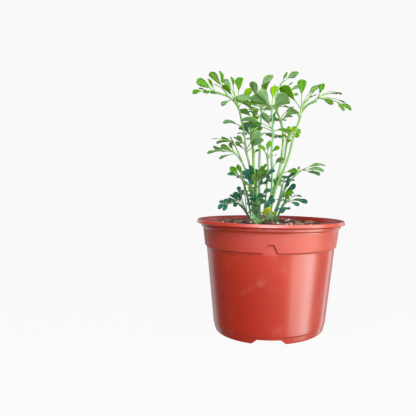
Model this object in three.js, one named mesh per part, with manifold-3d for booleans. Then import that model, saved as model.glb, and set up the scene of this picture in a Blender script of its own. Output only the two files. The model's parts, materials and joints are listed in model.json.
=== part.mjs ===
// Potted rue: a young rue plant in a 14 cm round nursery pot.
// Millimetres, +Z up. The origin is the middle of the pot's foot, and -Y is the front.

import * as THREE from "three";
import { mergeVertices } from "three/addons/utils/BufferGeometryUtils.js";
import Module from "manifold-3d";

const wasm = await Module();
wasm.setup();

// Pot
const POT_HEIGHT = 102.4;
const RIM_RADIUS = 70;
const LIP_HEIGHT = 3.5;
const LIP_EDGE = 0.9;
const LIP_INSIDE = 2.6;
const BAND_RADIUS = 66;
const BAND_HEIGHT = 3.4;
const BAND_EDGE = 0.7;
const COLLAR_TOP_RADIUS = 64.4;
const COLLAR_FOOT_RADIUS = 62.3;
const COLLAR_EDGE = 0.4;
const STEP_HEIGHT = 77.9;
const WALL_TOP_RADIUS = 60.8;
const WALL_FOOT_RADIUS = 53.4;
const WALL_FOOT_HEIGHT = 6.5;
const FOOT_RADIUS = 51.7;
const FOOT_WIDTH = 1.8;
const WALL = 1.2;
const FLOOR_BELOW = 4.2;
const FLOOR_ABOVE = 5.4;
const INNER_STEP_HEIGHT = 87;
const INNER_STEP = 0.6;
const INNER_SLOPE = 1;
const POT_SEGMENTS = 36;

// Four tabs let into the collar's lower edge, and four notches in the foot
const AROUND = [0, 90, 180, 270];
const TAB = { low: 11.5, high: 5, height: 7.2 };
const NOTCH = { low: 29.5, high: 19.8, height: 4 };
const DRAIN_RADIUS = 3;
const DRAIN_RING = 34;
const DRAIN_COUNT = 8;
const DRAIN_SIDES = 8;

// Soil
const SOIL_EDGE_HEIGHT = 95;
const MOUND_HEIGHT = 5;
const MOUND_RADIUS = 62;
const SOIL_CENTRE = [0, 4];
const SOIL_SEGMENTS = 26;
const SOIL_RINGS = [1, 0.72, 0.38];
const LUMP = 0.55;
const CLEARANCE = 0.3;
const STEM_FOOT = 85;
const STEM_SIDES = 5;
const HOLE_SIDES = 5;

// Leaves. A leaflet is a wedge that is widest near its blunt tip: the shares of its length and width
// at the corners beyond its root
const LEAFLET = [[0.77, -0.5], [1, -0.2], [1, 0.2], [0.77, 0.5]];
const WIDTH_SHARE = 0.44;
const LEAF_THICKNESS = 0.7;
const STALK_HALF_WIDTH = 0.65;
const SIDE_STALK_HALF_WIDTH = 0.5;
const ROOT_SPACE = 0.6;
const SAG = 0.007;

// A stalk longer than this (mm) gets a joint half way, so that it bends with the leaf
const LONG_STALK = 8;

// A side division's size beside the leaf's end leaflet. Where it is divided again: its stalk, its own
// side leaflets' size and their spread (degrees)
const DIVISION_SIZE = 0.9;
const DIVISION_STALK = 0.55;
const SIDE_LEAFLET_SIZE = 0.8;
const SIDE_LEAFLET_SPREAD = 40;

// How far each measure is drawn from its mean, as a share of it
const VARY = { width: 0.15, place: 0.05, division: 0.12, spread: 0.06, leaflet: 0.1, fan: 0.08 };

// Kinds of leaf. Each row is one fork of the rachis: where it lies (share of the rachis), how many
// leaflets fork off to the right and to the left there, and how far they spread (degrees)
const KINDS = {
  single: [],
  duo: [[0.9, 1, 0, 36]],
  trio: [[0.96, 1, 1, 38]],
  five: [[0.6, 1, 1, 68], [0.96, 1, 1, 36]],
  seven: [[0.62, 3, 3, 50]],
};

// The leafy stems. path: points up the stem, from where it stands in the soil. radius: at its foot
// and at its top. A branch leaves its stem at the height `from`.
// A leaf reads: the height where it leaves the stem, its tip, its kind, the length of its leaflets,
// how far its stalk bows upwards, and how far it banks about its own line (degrees)
const STEMS = {
  left_stem: {
    seed: 11,
    color: "#6fae4c",
    radius: [1.3, 0.7],
    path: [
      [-14, 1], [-15, 0, 105], [-18, 0, 117], [-20, -1, 138], [-22, -2, 155], [-25, -3, 166],
      [-27, -4, 182], [-30, -6, 196], [-33, -8, 207], [-38, -10, 213], [-44, -11, 216.5],
      [-51, -12, 218.5], [-57, -13, 219.5],
    ],
    leaves: [
      [216.5, [-57, -20, 217], "single", 8, 0, 30],
      [167.5, [-34, -7, 173], "single", 8, 0, 20],
      [219.5, [-74, -17, 217], "single", 10, 1, -85],
      [219.5, [-70, -9, 223], "single", 8, 0, -30],
      [218.5, [-63, -24, 216], "single", 9, 0, -55],
      [219, [-70, -15, 230], "single", 16, 0, -85],
      [219, [-61, -8, 232], "single", 12, 0, -10],
      [213.5, [-48, -15, 207], "single", 10, 0, -85],
      [209, [-49, 0, 235], "single", 15, 3, -45],
      [209, [-41, 4, 238], "single", 13, 0, 25],
      [209, [-46, -16, 225], "single", 13, 1, 25],
      [207.5, [-33, 2, 238], "single", 17, 0, -10],
      [206.5, [-21, -13, 223], "single", 14, 0, -25],
      [188, [-46, -13, 192], "single", 14, 2, 30],
      [173, [-37, -6, 179], "trio", 10.5, 0, 25],
      [167.5, [-14, -13, 185], "single", 17, 0, -50],
      [165.5, [-10, -13, 178], "single", 15, 0, -20],
    ],
    branches: [
      {
        from: 214.5,
        radius: [0.65, 0.55],
        path: [[-44, -10, 218.5], [-47.5, -10, 224]],
        leaves: [
          [223.5, [-58, -12, 238], "single", 16, 0, -70],
          [223.5, [-50, -5, 240], "single", 14, 0, 30],
          [222.5, [-54, -17, 225], "single", 9, 0, -25],
        ],
      },
    ],
  },
  yellow_stem: {
    seed: 12,
    color: "#8dbb2b",
    radius: [1.5, 1.0],
    path: [
      [-11, 7], [-13, 6, 105], [-15, 6, 125], [-18, 7, 149], [-19, 8, 169], [-21, 9, 180],
      [-21, 10, 193], [-19, 10, 206],
    ],
    leaves: [
      [205, [-37, -3, 217], "single", 19, 2, 20],
      [204, [-30, 6, 217], "single", 15, 2, 15],
      [200, [-31, -3, 207], "single", 16, 0, 20],
      [196, [-16, -3, 206], "single", 13, 0, 5],
      [190.5, [-15, 2, 201], "duo", 12, 1, -10],
      [186.5, [-27, -3, 194], "trio", 13, 1, 25],
      [184.5, [-13, -2, 194], "trio", 12, 1, -25],
      [183.5, [-29, 0, 189], "single", 11, 1, 30],
      [181.5, [-31, 38, 187], "trio", 13, 4, 0],
      [168, [-20, -4, 178], "single", 11, 0, -25],
      [164, [-13, 2, 169], "single", 7.5, 1, -20],
    ],
  },
  back_stem: {
    seed: 13,
    color: "#5f9a6c",
    radius: [1.3, 1.0],
    path: [[-9, 14], [-11, 14, 104], [-13, 18, 152], [-13, 20, 171], [-13, 22, 191], [-12, 24, 209]],
    leaves: [
      [205.5, [-2, 4, 241], "single", 24, 9, 10],
      [208.5, [-6, 13, 240], "single", 15, 0, 20],
      [208, [-22, 10, 236], "single", 17, 1, 20],
      [203, [-11, 20, 237], "single", 10, 0, 45],
      [207, [-16, 44, 223], "five", 15, 2, 0],
      [202.5, [-30, 42, 212], "trio", 15, 4, 0],
      [205, [2, 48, 219], "trio", 15, 4, 0],
      [175.5, [-20, 52, 184], "trio", 15, 4, 0],
      [182.5, [-3, 54, 190], "trio", 14, 4, 0],
      [143.5, [-14, 50, 150], "five", 14, 4, 0],
    ],
  },
  centre_stem: {
    seed: 14,
    color: "#7fb28a",
    radius: [1.2, 0.85],
    path: [
      [-4, -7], [-3, -8, 107], [-1, -9, 121], [0, -11, 141], [-1, -14, 165], [0, -16, 183],
      [-2, -20, 204],
    ],
    leaves: [
      [203.5, [-12, -36, 216], "single", 20, 1, 40],
      [203.5, [-33, -22, 213], "single", 19, 2, -50],
      [203, [12, -31, 214], "single", 19, 1, -55],
      [204, [1, -8, 227], "single", 16, 0, -10],
      [203, [-20, -28, 212], "single", 20, 2, 30],
      [203, [-24, -24, 207], "single", 14, 2, -45],
      [203.5, [14, -12, 215], "single", 15, 0, 50],
      [201.5, [14, -24, 210], "single", 16.5, 1, -20],
      [184.5, [-10, -24, 199], "single", 15, 0, 15],
      [185.5, [2, -15, 202], "single", 15, 0, -5],
      [185.5, [-28, -28, 192], "single", 19, 2, 20],
      [183.5, [15, -22, 183], "single", 14.5, 2, 45],
      [183.5, [-26, -20, 188], "single", 17, 2, 20],
      [149.5, [9, -19, 160], "single", 11, 1, -25],
    ],
  },
  inner_right_stem: {
    seed: 15,
    color: "#8cba58",
    radius: [1.7, 0.95],
    path: [
      [-3, 2], [-2, 2, 108], [-1, 2, 116], [3, 3, 135], [7, 4, 150], [9, 5, 164], [10, 6, 179],
      [8, 8, 195], [2, 10, 210],
    ],
    leaves: [
      [208, [0, 6, 232], "single", 12, 0, -25],
      [206, [-4, 37, 201], "trio", 13, 3, 0],
      [205.5, [6, 44, 220], "five", 15, 4, 0],
      [193.5, [4, 48, 205], "trio", 15, 4, 0],
      [178.5, [8, 42, 186], "trio", 13, 4, 0],
      [197.5, [23, -10, 205], "single", 20, 2, -25],
      [197.5, [17, -8, 200], "single", 11, 1, -30],
      [198.5, [20, 8, 212], "single", 11, 2, 25],
      [145, [23, -8, 149], "single", 12, 1, 65],
    ],
    branches: [
      {
        from: 206,
        radius: [0.75, 0.55],
        path: [[3, 6, 221], [6.5, 6, 233]],
        leaves: [
          [232.5, [23, 9, 245], "single", 17, 1, -20],
          [231.5, [13, 2, 243], "single", 11, 0, 5],
          [222, [18, -4, 232], "single", 8, 0, 10],
          [219, [26, 10, 233], "single", 16, 0, 30],
          [220, [24, 8, 224], "single", 9, 0, 55],
        ],
      },
      {
        from: 156.5,
        radius: [0.9, 0.7],
        path: [[10.5, 2, 157.5], [13, -2, 173.5], [14, -4, 180], [16.5, -6, 184.5]],
        leaves: [
          [172.5, [16, -9, 178], "single", 7, 0, -10],
          [181, [26, -6, 187], "single", 10, 0, 85],
          [179.5, [25, -4, 183], "single", 9.5, 0, 85],
          [179.5, [21, -8, 190], "duo", 10, 0, -35],
          [177, [10, -9, 183], "single", 7, 0, 0],
          [179.5, [15, -12, 187], "single", 8, 0, 5],
        ],
      },
    ],
  },
  right_stem: {
    seed: 16,
    color: "#8bb66a",
    radius: [1.3, 0.9],
    path: [
      [1, -4], [-1, -4, 104], [1, -3, 121], [5, -4, 136], [10, -6, 148], [15, -8, 162], [19, -10, 179],
      [22, -11, 189], [25, -12, 199], [26, -12, 209],
    ],
    leaves: [
      [207, [40, -2, 221], "single", 13, 2, 5],
      [205.5, [26, -8, 234], "single", 16, 0, 0],
      [205, [46, -5, 231], "single", 19.5, 4, 40],
      [199.5, [40, -16, 224], "single", 15, 2, 15],
      [204, [39, -18, 212], "single", 15, 1, 45],
      [205, [6, -28, 222], "single", 21, 1, 25],
      [196, [22, 28, 212], "single", 14, 2, 30],
    ],
    branches: [
      {
        from: 201.5,
        radius: [0.75, 0.6],
        path: [[31, -12, 208.5], [36, -12, 212], [41.5, -12, 216.5]],
        leaves: [
          [215.5, [68, 4, 216], "single", 9, 2, 10],
          [215.5, [61, 10, 225], "single", 12, 2, 0],
          [216, [46, -9, 230], "single", 13, 0, 40],
          [216, [65, 4, 225], "single", 18, 3, 8],
          [215.5, [54, -18, 209], "single", 12, 1, 70],
          [216, [72, -12, 206], "duo", 13, 2, 55],
        ],
      },
    ],
  },
  thin_stem: {
    seed: 17,
    color: "#93b636",
    radius: [0.9, 0.7],
    path: [[-8, -14], [-7, -14, 108], [-5, -18, 130], [-4, -20, 152], [-5, -22, 162]],
    leaves: [
      [161, [-3, -27, 174], "single", 12, 0, 30],
      [160.5, [-13, -24, 170], "duo", 9, 1, -50],
      [159, [6, -24, 169], "single", 9, 1, 65],
      [158, [4, -30, 161], "single", 6, 1, 20],
    ],
  },
  left_leaf: {
    seed: 18,
    color: "#5d9a74",
    radius: [1.1, 0.8],
    path: [[-14, -8], [-15, -8, 108], [-20, -10, 134], [-24, -12, 146], [-28, -14, 156]],
    leaves: [
      [156, [-39, -22, 177], "trio", 12, 1, -30],
    ],
    branches: [
      {
        from: 154,
        radius: [0.75, 0.55],
        path: [[-33.5, -16, 162.5], [-36, -18, 164.5]],
        leaves: [
          [164, [-59, -22, 163], "single", 19, 1, 15],
          [164, [-55, -12, 168], "single", 15, 1, 20],
          [163, [-48, -24, 158], "single", 13, 0, 20],
          [164, [-47, -16, 171], "single", 12, 0, -35],
          [164, [-40, -12, 173], "single", 9, 0, -50],
        ],
      },
      {
        from: 156,
        radius: [0.7, 0.55],
        path: [[-33.5, -12, 168], [-36.5, -13, 174]],
        leaves: [
          [173.5, [-51, -20, 172], "single", 14, 1, 20],
          [173.5, [-56, -16, 176], "single", 8, 1, -10],
          [172.5, [-48, -6, 178], "single", 11, 1, 45],
        ],
      },
    ],
  },
  right_leaf: {
    seed: 19,
    color: "#6d9a5d",
    radius: [1.2, 0.8],
    path: [[3, 7], [4, 8, 106], [12, 8, 130], [19, 9, 141], [26, 10, 148.5], [30, 10, 151]],
    leaves: [
      [151, [52, 10, 156], "single", 20, 2, 25],
      [151, [50, 4, 151], "single", 19, 1, 25],
      [151, [47, 10, 146], "single", 15, 0, 30],
      [147.5, [26, 8, 154], "single", 5, 0, -40],
      [131.5, [23, 2, 148], "single", 14, 3, 50],
      [126.5, [23, 2, 136], "single", 14, 0, 75],
      [126.5, [17, 4, 143], "duo", 11, 1, 50],
      [123, [20, -2, 129], "single", 13, 2, 60],
      [123, [16, -8, 122], "single", 12, 3, 60],
      [126.5, [6, -4, 143], "duo", 11, 1, 40],
    ],
  },
  low_right_shoot: {
    seed: 20,
    color: "#3f7f72",
    radius: [1.1, 0.9],
    path: [[5, -9], [7, -10, 108], [11, -12, 117], [15, -14, 121]],
    leaves: [
      [121, [33, -18, 120], "single", 16, 1, 35],
      [121, [28, -12, 125], "single", 10, 2, 15],
      [120, [25, -20, 116], "single", 10, 1, 50],
      [118, [10, -18, 128], "single", 9, 0, -60],
      [115.5, [13, -22, 123], "single", 9, 0, 30],
      [109.5, [10, -34, 111], "trio", 11, 4, 10],
    ],
  },
  low_left_shoot: {
    seed: 21,
    color: "#34766b",
    radius: [1.1, 0.9],
    path: [[-19, -3], [-21, -4, 104], [-26, -6, 112], [-31, -9, 117]],
    leaves: [
      [117, [-49, -18, 113], "trio", 10, 2, -50],
      [116, [-45, -10, 120], "trio", 9, 1, -40],
      [115.5, [-39, -12, 125], "five", 10, 1, -50],
      [112.5, [-35, -6, 128], "trio", 10, 1, -40],
      [109, [-32, -6, 133], "trio", 9, 0, -60],
      [108, [-26, -13, 136], "single", 8, 0, -40],
      [110, [-29, -22, 116], "duo", 8, 1, -30],
    ],
  },
  mid_left_shoot: {
    seed: 22,
    color: "#3f8556",
    radius: [1, 0.8],
    path: [[-19, 5], [-20, 4, 106], [-23, 0, 122], [-26, -3, 134], [-28, -4, 140]],
    leaves: [
      [140, [-42, -8, 145], "single", 13, 1, -40],
      [139, [-39, -6, 152], "single", 13, 0, -50],
      [138, [-33, -3, 154], "single", 12, 0, -30],
      [133.5, [-29, 24, 146], "trio", 13, 3, 0],
      [120, [-26, 30, 130], "trio", 12, 3, 0],
    ],
  },
  front_shoot: {
    seed: 23,
    color: "#3c8268",
    radius: [1.3, 0.9],
    path: [[-12, -14], [-13, -15, 106], [-15, -19, 122], [-14, -24, 138]],
    leaves: [
      [137.5, [-19, -28, 152], "trio", 13, 0, 0],
      [137.5, [-27, -30, 146], "five", 12, 1, -50],
      [137.5, [-5, -30, 153], "trio", 13, 0, 60],
      [137, [2, -41, 146], "five", 12, 1, 50],
      [135, [-11, -36, 146], "trio", 12, 0, 10],
      [131.5, [0, -34, 138], "trio", 11, 2, 30],
      [129.5, [-25, -32, 135], "trio", 10, 1, -40],
      [115, [-9, -33, 127], "trio", 11, 1, 10],
      [114, [3, -38, 120], "trio", 12, 2, 50],
      [109.5, [-21, -34, 118], "five", 10, 2, -50],
      [125, [-14, -33, 133], "duo", 12, 1, 25],
      [117.5, [-2, -36, 131], "single", 12, 1, -25],
      [113, [-15, -38, 123], "duo", 10, 1, -15],
      [122.5, [-19, -34, 127], "duo", 11, 1, 25],
      [108.5, [-7, -47, 122], "single", 14, 1, -25],
      [107.5, [-12, -46, 118], "single", 14, 1, 0],
      [107.5, [-18, -42, 113], "duo", 12, 1, 30],
    ],
  },
  soil_leaf: {
    seed: 24,
    color: "#7fa790",
    radius: [0.9, 0.8],
    path: [[-9, -36], [-9, -37, 100.5], [-9, -39, 102.5]],
    leaves: [
      [102, [2, -53, 109], "single", 14, 1, -70],
      [102, [-8, -50, 110], "single", 12, 1, -5],
      [102, [-18, -48, 107], "single", 12, 1, -85],
      [101.5, [-14, -50, 103], "single", 11, 1, -70],
    ],
  },
  yellow_leaf: {
    seed: 25,
    color: "#cfc93a",
    radius: [0.9, 0.8],
    path: [[1, -19], [1, -22, 101.5], [0, -29, 103.5]],
    leaves: [
      [103, [-8, -42, 112], "single", 12, 1, 55],
      [103, [3, -40, 112], "single", 12, 1, -25],
      [103, [-3, -44, 115], "single", 12, 0, 20],
    ],
  },
  rear_left_shoot: {
    seed: 26,
    color: "#4a8a62",
    radius: [1.2, 0.9],
    path: [[-17, 14], [-18, 16, 106], [-21, 24, 124], [-23, 30, 138]],
    leaves: [
      [138, [-27, 48, 149], "five", 14, 3, 0],
      [137, [-14, 54, 148], "five", 13, 3, 0],
      [122, [-36, 38, 123], "trio", 13, 4, 0],
      [112, [-14, 46, 118], "trio", 12, 4, 0],
    ],
  },
  rear_right_shoot: {
    seed: 27,
    color: "#4a8a62",
    radius: [1.2, 0.9],
    path: [[2, 15], [3, 17, 106], [8, 24, 122], [11, 30, 136]],
    leaves: [
      [136, [18, 47, 147], "five", 14, 3, 0],
      [134, [2, 54, 143], "five", 13, 3, 0],
      [122, [20, 42, 126], "trio", 13, 4, 0],
      [112, [10, 50, 120], "trio", 12, 4, 0],
    ],
  },
};

// Seeded draws between 0 and 1
function makeDraw(seed) {
  const modulus = 2147483647;
  let state = (seed * 7919) % modulus;
  return () => {
    state = (state * 48271) % modulus;
    return state / modulus;
  };
}

// A closed body through rings with the same count of points, with flat ends
function loft(rings) {
  const sides = rings[0].length;
  const last = (rings.length - 1) * sides;
  const faces = [];
  for (let ring = 0; ring < last; ring += sides) {
    for (let i = 0; i < sides; i++) {
      const a = ring + i;
      const b = ring + ((i + 1) % sides);
      faces.push(a, b, b + sides, a, b + sides, a + sides);
    }
  }
  for (let i = 1; i + 1 < sides; i++) {
    faces.push(0, i + 1, i, last, last + i, last + i + 1);
  }
  const geometry = new THREE.BufferGeometry().setFromPoints(rings.flat());
  geometry.setIndex(faces);
  return geometry;
}

// A solid from a closed geometry: shared points are merged and triangles of no area dropped
function solidOf(geometry) {
  const bare = geometry.clone();
  bare.deleteAttribute("normal");
  bare.deleteAttribute("uv");
  const merged = mergeVertices(bare, 1e-4);
  const index = merged.index.array;
  const kept = [];
  for (let i = 0; i < index.length; i += 3) {
    const [a, b, c] = [index[i], index[i + 1], index[i + 2]];
    if (a !== b && b !== c && c !== a) kept.push(a, b, c);
  }
  return new wasm.Manifold(new wasm.Mesh({
    numProp: 3,
    vertProperties: new Float32Array(merged.attributes.position.array),
    triVerts: new Uint32Array(kept),
  }));
}

function namedMesh(name, solid, look) {
  const { vertProperties, triVerts } = solid.getMesh();
  const geometry = new THREE.BufferGeometry();
  geometry.setAttribute("position", new THREE.BufferAttribute(new Float32Array(vertProperties), 3));
  geometry.setIndex(new THREE.BufferAttribute(new Uint32Array(triVerts), 1));
  geometry.computeVertexNormals();
  const mesh = new THREE.Mesh(geometry, new THREE.MeshStandardMaterial(look));
  mesh.name = name;
  return mesh;
}

// A body turned about +Z from a profile of [radius, height] points that ends on the axis
function turned(profile, segments) {
  const points = profile.map(([radius, height]) => new THREE.Vector2(radius, height));
  const geometry = new THREE.LatheGeometry(points, segments);
  geometry.rotateX(Math.PI / 2);
  return geometry;
}

// A trapezoid that points up, as a block from the axis outwards, turned to the given side
function wedgeBlock({ low, high, height }, base, from, to, degrees) {
  const shape = new THREE.Shape([
    new THREE.Vector2(-low / 2, base),
    new THREE.Vector2(low / 2, base),
    new THREE.Vector2(high / 2, base + height),
    new THREE.Vector2(-high / 2, base + height),
  ]);
  const block = new THREE.ExtrudeGeometry(shape, { depth: to - from, bevelEnabled: false });
  block.rotateX(Math.PI / 2);
  block.translate(0, -from, 0);
  block.rotateZ(THREE.MathUtils.degToRad(degrees));
  return solidOf(block);
}

function wallRadius(height) {
  const share = (height - WALL_FOOT_HEIGHT) / (STEP_HEIGHT - WALL_FOOT_HEIGHT);
  return WALL_FOOT_RADIUS + (WALL_TOP_RADIUS - WALL_FOOT_RADIUS) * share;
}

function makePot() {
  const lipFoot = POT_HEIGHT - LIP_HEIGHT;
  const bandFoot = lipFoot - BAND_HEIGHT;
  const inner = (height) => wallRadius(height) - WALL;
  const innerCollarFoot = COLLAR_FOOT_RADIUS - WALL + INNER_STEP;
  const profile = [
    [0, FLOOR_BELOW],
    [FOOT_RADIUS - FOOT_WIDTH, FLOOR_BELOW],
    [FOOT_RADIUS - FOOT_WIDTH, 0],
    [FOOT_RADIUS, 0],
    [WALL_FOOT_RADIUS, WALL_FOOT_HEIGHT],
    [WALL_TOP_RADIUS, STEP_HEIGHT],
    [COLLAR_FOOT_RADIUS, STEP_HEIGHT + COLLAR_EDGE],
    [COLLAR_TOP_RADIUS, bandFoot],
    [BAND_RADIUS, bandFoot + COLLAR_EDGE],
    [BAND_RADIUS, lipFoot - BAND_EDGE],
    [BAND_RADIUS - BAND_EDGE, lipFoot],
    [RIM_RADIUS - LIP_EDGE, lipFoot],
    [RIM_RADIUS, lipFoot + LIP_EDGE],
    [RIM_RADIUS, POT_HEIGHT - LIP_EDGE],
    [RIM_RADIUS - LIP_EDGE, POT_HEIGHT],
    [RIM_RADIUS - LIP_INSIDE, POT_HEIGHT],
    [BAND_RADIUS, lipFoot],
    [COLLAR_TOP_RADIUS - WALL, bandFoot],
    [innerCollarFoot, INNER_STEP_HEIGHT + INNER_SLOPE],
    [inner(INNER_STEP_HEIGHT), INNER_STEP_HEIGHT],
    [inner(FLOOR_ABOVE), FLOOR_ABOVE],
    [0, FLOOR_ABOVE],
  ];
  let pot = solidOf(turned(profile, POT_SEGMENTS));

  // All that lies outside the lower wall, carried on up past the tabs
  const [skinFoot, skinTop] = [STEP_HEIGHT - TAB.height, STEP_HEIGHT + 2 * TAB.height];
  const outside = solidOf(turned([
    [wallRadius(skinFoot), skinFoot],
    [RIM_RADIUS, skinFoot],
    [RIM_RADIUS, skinTop],
    [wallRadius(skinTop), skinTop],
    [wallRadius(skinFoot), skinFoot],
  ], POT_SEGMENTS));
  const drain = new THREE.CylinderGeometry(DRAIN_RADIUS, DRAIN_RADIUS, FLOOR_ABOVE, DRAIN_SIDES);
  drain.rotateX(Math.PI / 2);
  for (const degrees of AROUND) {
    const tab = wedgeBlock(TAB, STEP_HEIGHT, WALL_FOOT_RADIUS, BAND_RADIUS, degrees);
    pot = pot.subtract(tab.intersect(outside));
    pot = pot.subtract(wedgeBlock(NOTCH, 0, FOOT_RADIUS / 2, RIM_RADIUS, degrees));
  }
  for (let i = 0; i < DRAIN_COUNT; i++) {
    const turn = ((i + 0.5) / DRAIN_COUNT) * 2 * Math.PI;
    const place = [DRAIN_RING * Math.cos(turn), DRAIN_RING * Math.sin(turn), FLOOR_ABOVE];
    pot = pot.subtract(solidOf(drain.clone().translate(...place)));
  }
  return pot;
}

// The soil's surface: flat at the wall, mounded round the stems, and lumpy
function soilHeight(x, y) {
  const away = Math.hypot(x - SOIL_CENTRE[0], y - SOIL_CENTRE[1]) / MOUND_RADIUS;
  const mound = MOUND_HEIGHT * Math.max(0, 1 - away * away);
  const lumps = Math.sin(x * 0.31 + 1) * Math.cos(y * 0.27) + 0.6 * Math.sin(x * 0.13 - y * 0.45);
  return SOIL_EDGE_HEIGHT + mound + LUMP * lumps;
}

function makeSoil() {
  const facet = Math.cos(Math.PI / POT_SEGMENTS);
  const inner = (height) => (wallRadius(height) - WALL) * facet - CLEARANCE;
  const collarFoot = (COLLAR_FOOT_RADIUS - WALL + INNER_STEP) * facet - CLEARANCE;
  const topRadius = (COLLAR_TOP_RADIUS - WALL) * facet - 2 * CLEARANCE;
  const surface = SOIL_RINGS.map((share) => [topRadius * share, SOIL_EDGE_HEIGHT]);
  const geometry = turned([
    [0, FLOOR_ABOVE + CLEARANCE],
    [inner(FLOOR_ABOVE), FLOOR_ABOVE + CLEARANCE],
    [inner(INNER_STEP_HEIGHT), INNER_STEP_HEIGHT + CLEARANCE],
    [collarFoot, INNER_STEP_HEIGHT + INNER_SLOPE + 2 * CLEARANCE],
    ...surface,
    [0, SOIL_EDGE_HEIGHT],
  ], SOIL_SEGMENTS);
  const position = geometry.attributes.position;
  for (let i = 0; i < position.count; i++) {
    if (position.getZ(i) > SOIL_EDGE_HEIGHT - CLEARANCE) {
      position.setZ(i, soilHeight(position.getX(i), position.getY(i)));
    }
  }
  let soil = solidOf(geometry);
  for (const { path, radius } of Object.values(STEMS)) {
    const [x, y] = path[0];
    const depth = POT_HEIGHT - STEM_FOOT + CLEARANCE;
    const size = radius[0] + 2 * CLEARANCE;
    const hole = new THREE.CylinderGeometry(size, size, depth, HOLE_SIDES);
    hole.rotateX(Math.PI / 2);
    hole.translate(x, y, STEM_FOOT - CLEARANCE + depth / 2);
    soil = soil.subtract(solidOf(hole));
  }
  return soil;
}

// The direction square to `along` that is closest to `wanted`
function squareTo(along, wanted) {
  return wanted.clone().addScaledVector(along, -along.dot(wanted)).normalize();
}

// A tapered tube through points, with a ring of corners round each point
function tube(points, radius) {
  const rings = points.map((point, k) => {
    const before = points[Math.max(k - 1, 0)];
    const after = points[Math.min(k + 1, points.length - 1)];
    const along = after.clone().sub(before).normalize();
    const front = squareTo(along, new THREE.Vector3(0, 1, 0));
    const side = along.clone().cross(front);
    const size = THREE.MathUtils.lerp(radius[0], radius[1], k / (points.length - 1));
    return Array.from({ length: STEM_SIDES }, (_, i) => {
      const turn = (i / STEM_SIDES) * 2 * Math.PI;
      return point.clone()
        .addScaledVector(front, size * Math.cos(turn))
        .addScaledVector(side, size * Math.sin(turn));
    });
  });
  return solidOf(loft(rings));
}

// The parts of a leaf in its own plane: lengths, widths and where the side divisions fork off
function planLeaf(kind, size, reach, draw) {
  const vary = (amount) => 1 + amount * (2 * draw() - 1);
  const part = (stalk, half, length) => {
    const width = length * WIDTH_SHARE * vary(VARY.width);
    return { stalk, half, length, width, forks: [] };
  };
  const leaf = part(reach - size, STALK_HALF_WIDTH, size);
  for (const [share, right, left, degrees] of KINDS[kind]) {
    for (const [side, count] of [[-1, right], [1, left]]) {
      if (count === 0) continue;
      const at = leaf.stalk * share * (1 - VARY.place * draw());
      const turn = THREE.MathUtils.degToRad(degrees * vary(VARY.spread)) * side;
      const length = size * DIVISION_SIZE * vary(VARY.division);
      const stalk = count === 1 ? 0 : length * DIVISION_STALK;
      const division = part(stalk, SIDE_STALK_HALF_WIDTH, length);
      for (const side2 of count === 1 ? [] : [-1, 1]) {
        const fan = THREE.MathUtils.degToRad(SIDE_LEAFLET_SPREAD * vary(VARY.fan)) * side2;
        const leaflet = part(0, 0, length * SIDE_LEAFLET_SIZE * vary(VARY.leaflet));
        division.forks.push({ at: stalk - ROOT_SPACE, side: side2, turn: fan, part: leaflet });
      }
      leaf.forks.push({ at, side, turn, part: division });
    }
  }
  return leaf;
}

// The edge of a part of a leaf, from the right of its root round its tip to the left of its root
function edgeOf(part, root, turn) {
  const put = (along, across) => {
    return new THREE.Vector2(along, across).rotateAround(new THREE.Vector2(), turn).add(root);
  };
  const flank = (side) => part.forks.filter((fork) => fork.side === side).map((fork) => [
    put(fork.at + side * ROOT_SPACE, side * part.half),
    ...edgeOf(fork.part, put(fork.at, 0), turn + fork.turn),
    put(fork.at - side * ROOT_SPACE, side * part.half),
  ]);
  const tip = LEAFLET.map(([along, across]) => {
    return put(part.stalk + along * part.length, across * part.width);
  });
  return [...flank(-1).flat(), ...tip, ...flank(1).reverse().flat()];
}

// A whole leaf as one thin arched blade, cut to its rachis, from the middle of its stem to its tip
function leafSolid(start, [, tip, kind, size, bow, bank], draw) {
  const chord = new THREE.Vector3(...tip).sub(start);
  const reach = chord.length();
  const line = chord.clone().normalize();
  const up = squareTo(line, new THREE.Vector3(0, 0, 1));
  const facing = up.clone().applyAxisAngle(line, THREE.MathUtils.degToRad(bank));
  const across = facing.clone().cross(line);
  const leaf = planLeaf(kind, size, reach, draw);
  const firstFork = Math.min(leaf.stalk, ...leaf.forks.map((fork) => fork.at));
  const stalkPoints = firstFork > LONG_STALK ? [0, firstFork / 2] : [0];
  const shape = new THREE.Shape([
    ...stalkPoints.map((u) => new THREE.Vector2(u, -STALK_HALF_WIDTH)),
    ...edgeOf(leaf, new THREE.Vector2(), 0),
    ...stalkPoints.reverse().map((u) => new THREE.Vector2(u, STALK_HALF_WIDTH)),
  ]);
  const blade = new THREE.ExtrudeGeometry(shape, { depth: LEAF_THICKNESS, bevelEnabled: false });
  blade.translate(0, 0, -LEAF_THICKNESS / 2);
  const position = blade.attributes.position;
  const point = new THREE.Vector3();
  for (let i = 0; i < position.count; i++) {
    const [u, v, w] = [position.getX(i), position.getY(i), position.getZ(i)];
    const share = u / reach;
    point.copy(start)
      .addScaledVector(line, u)
      .addScaledVector(across, v)
      .addScaledVector(facing, w - SAG * v * v)
      .addScaledVector(up, 4 * bow * share * (1 - share));
    position.setXYZ(i, point.x, point.y, point.z);
  }
  return solidOf(blade);
}

// The point at a height on a stem that climbs all the way
function pointAtHeight(points, height) {
  const above = Math.max(1, points.findIndex((point) => point.z >= height));
  const [low, high] = [points[above - 1], points[above]];
  return low.clone().lerp(high, (height - low.z) / (high.z - low.z));
}

// A stem or a branch with its leaves
function leafyTube(points, radius, leaves, seed) {
  let body = tube(points, radius);
  leaves.forEach((leaf, i) => {
    const start = pointAtHeight(points, leaf[0]);
    body = body.add(leafSolid(start, leaf, makeDraw(seed + i)));
  });
  return body;
}

function toPoints(path) {
  return path.map((place) => new THREE.Vector3(...place));
}

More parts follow.
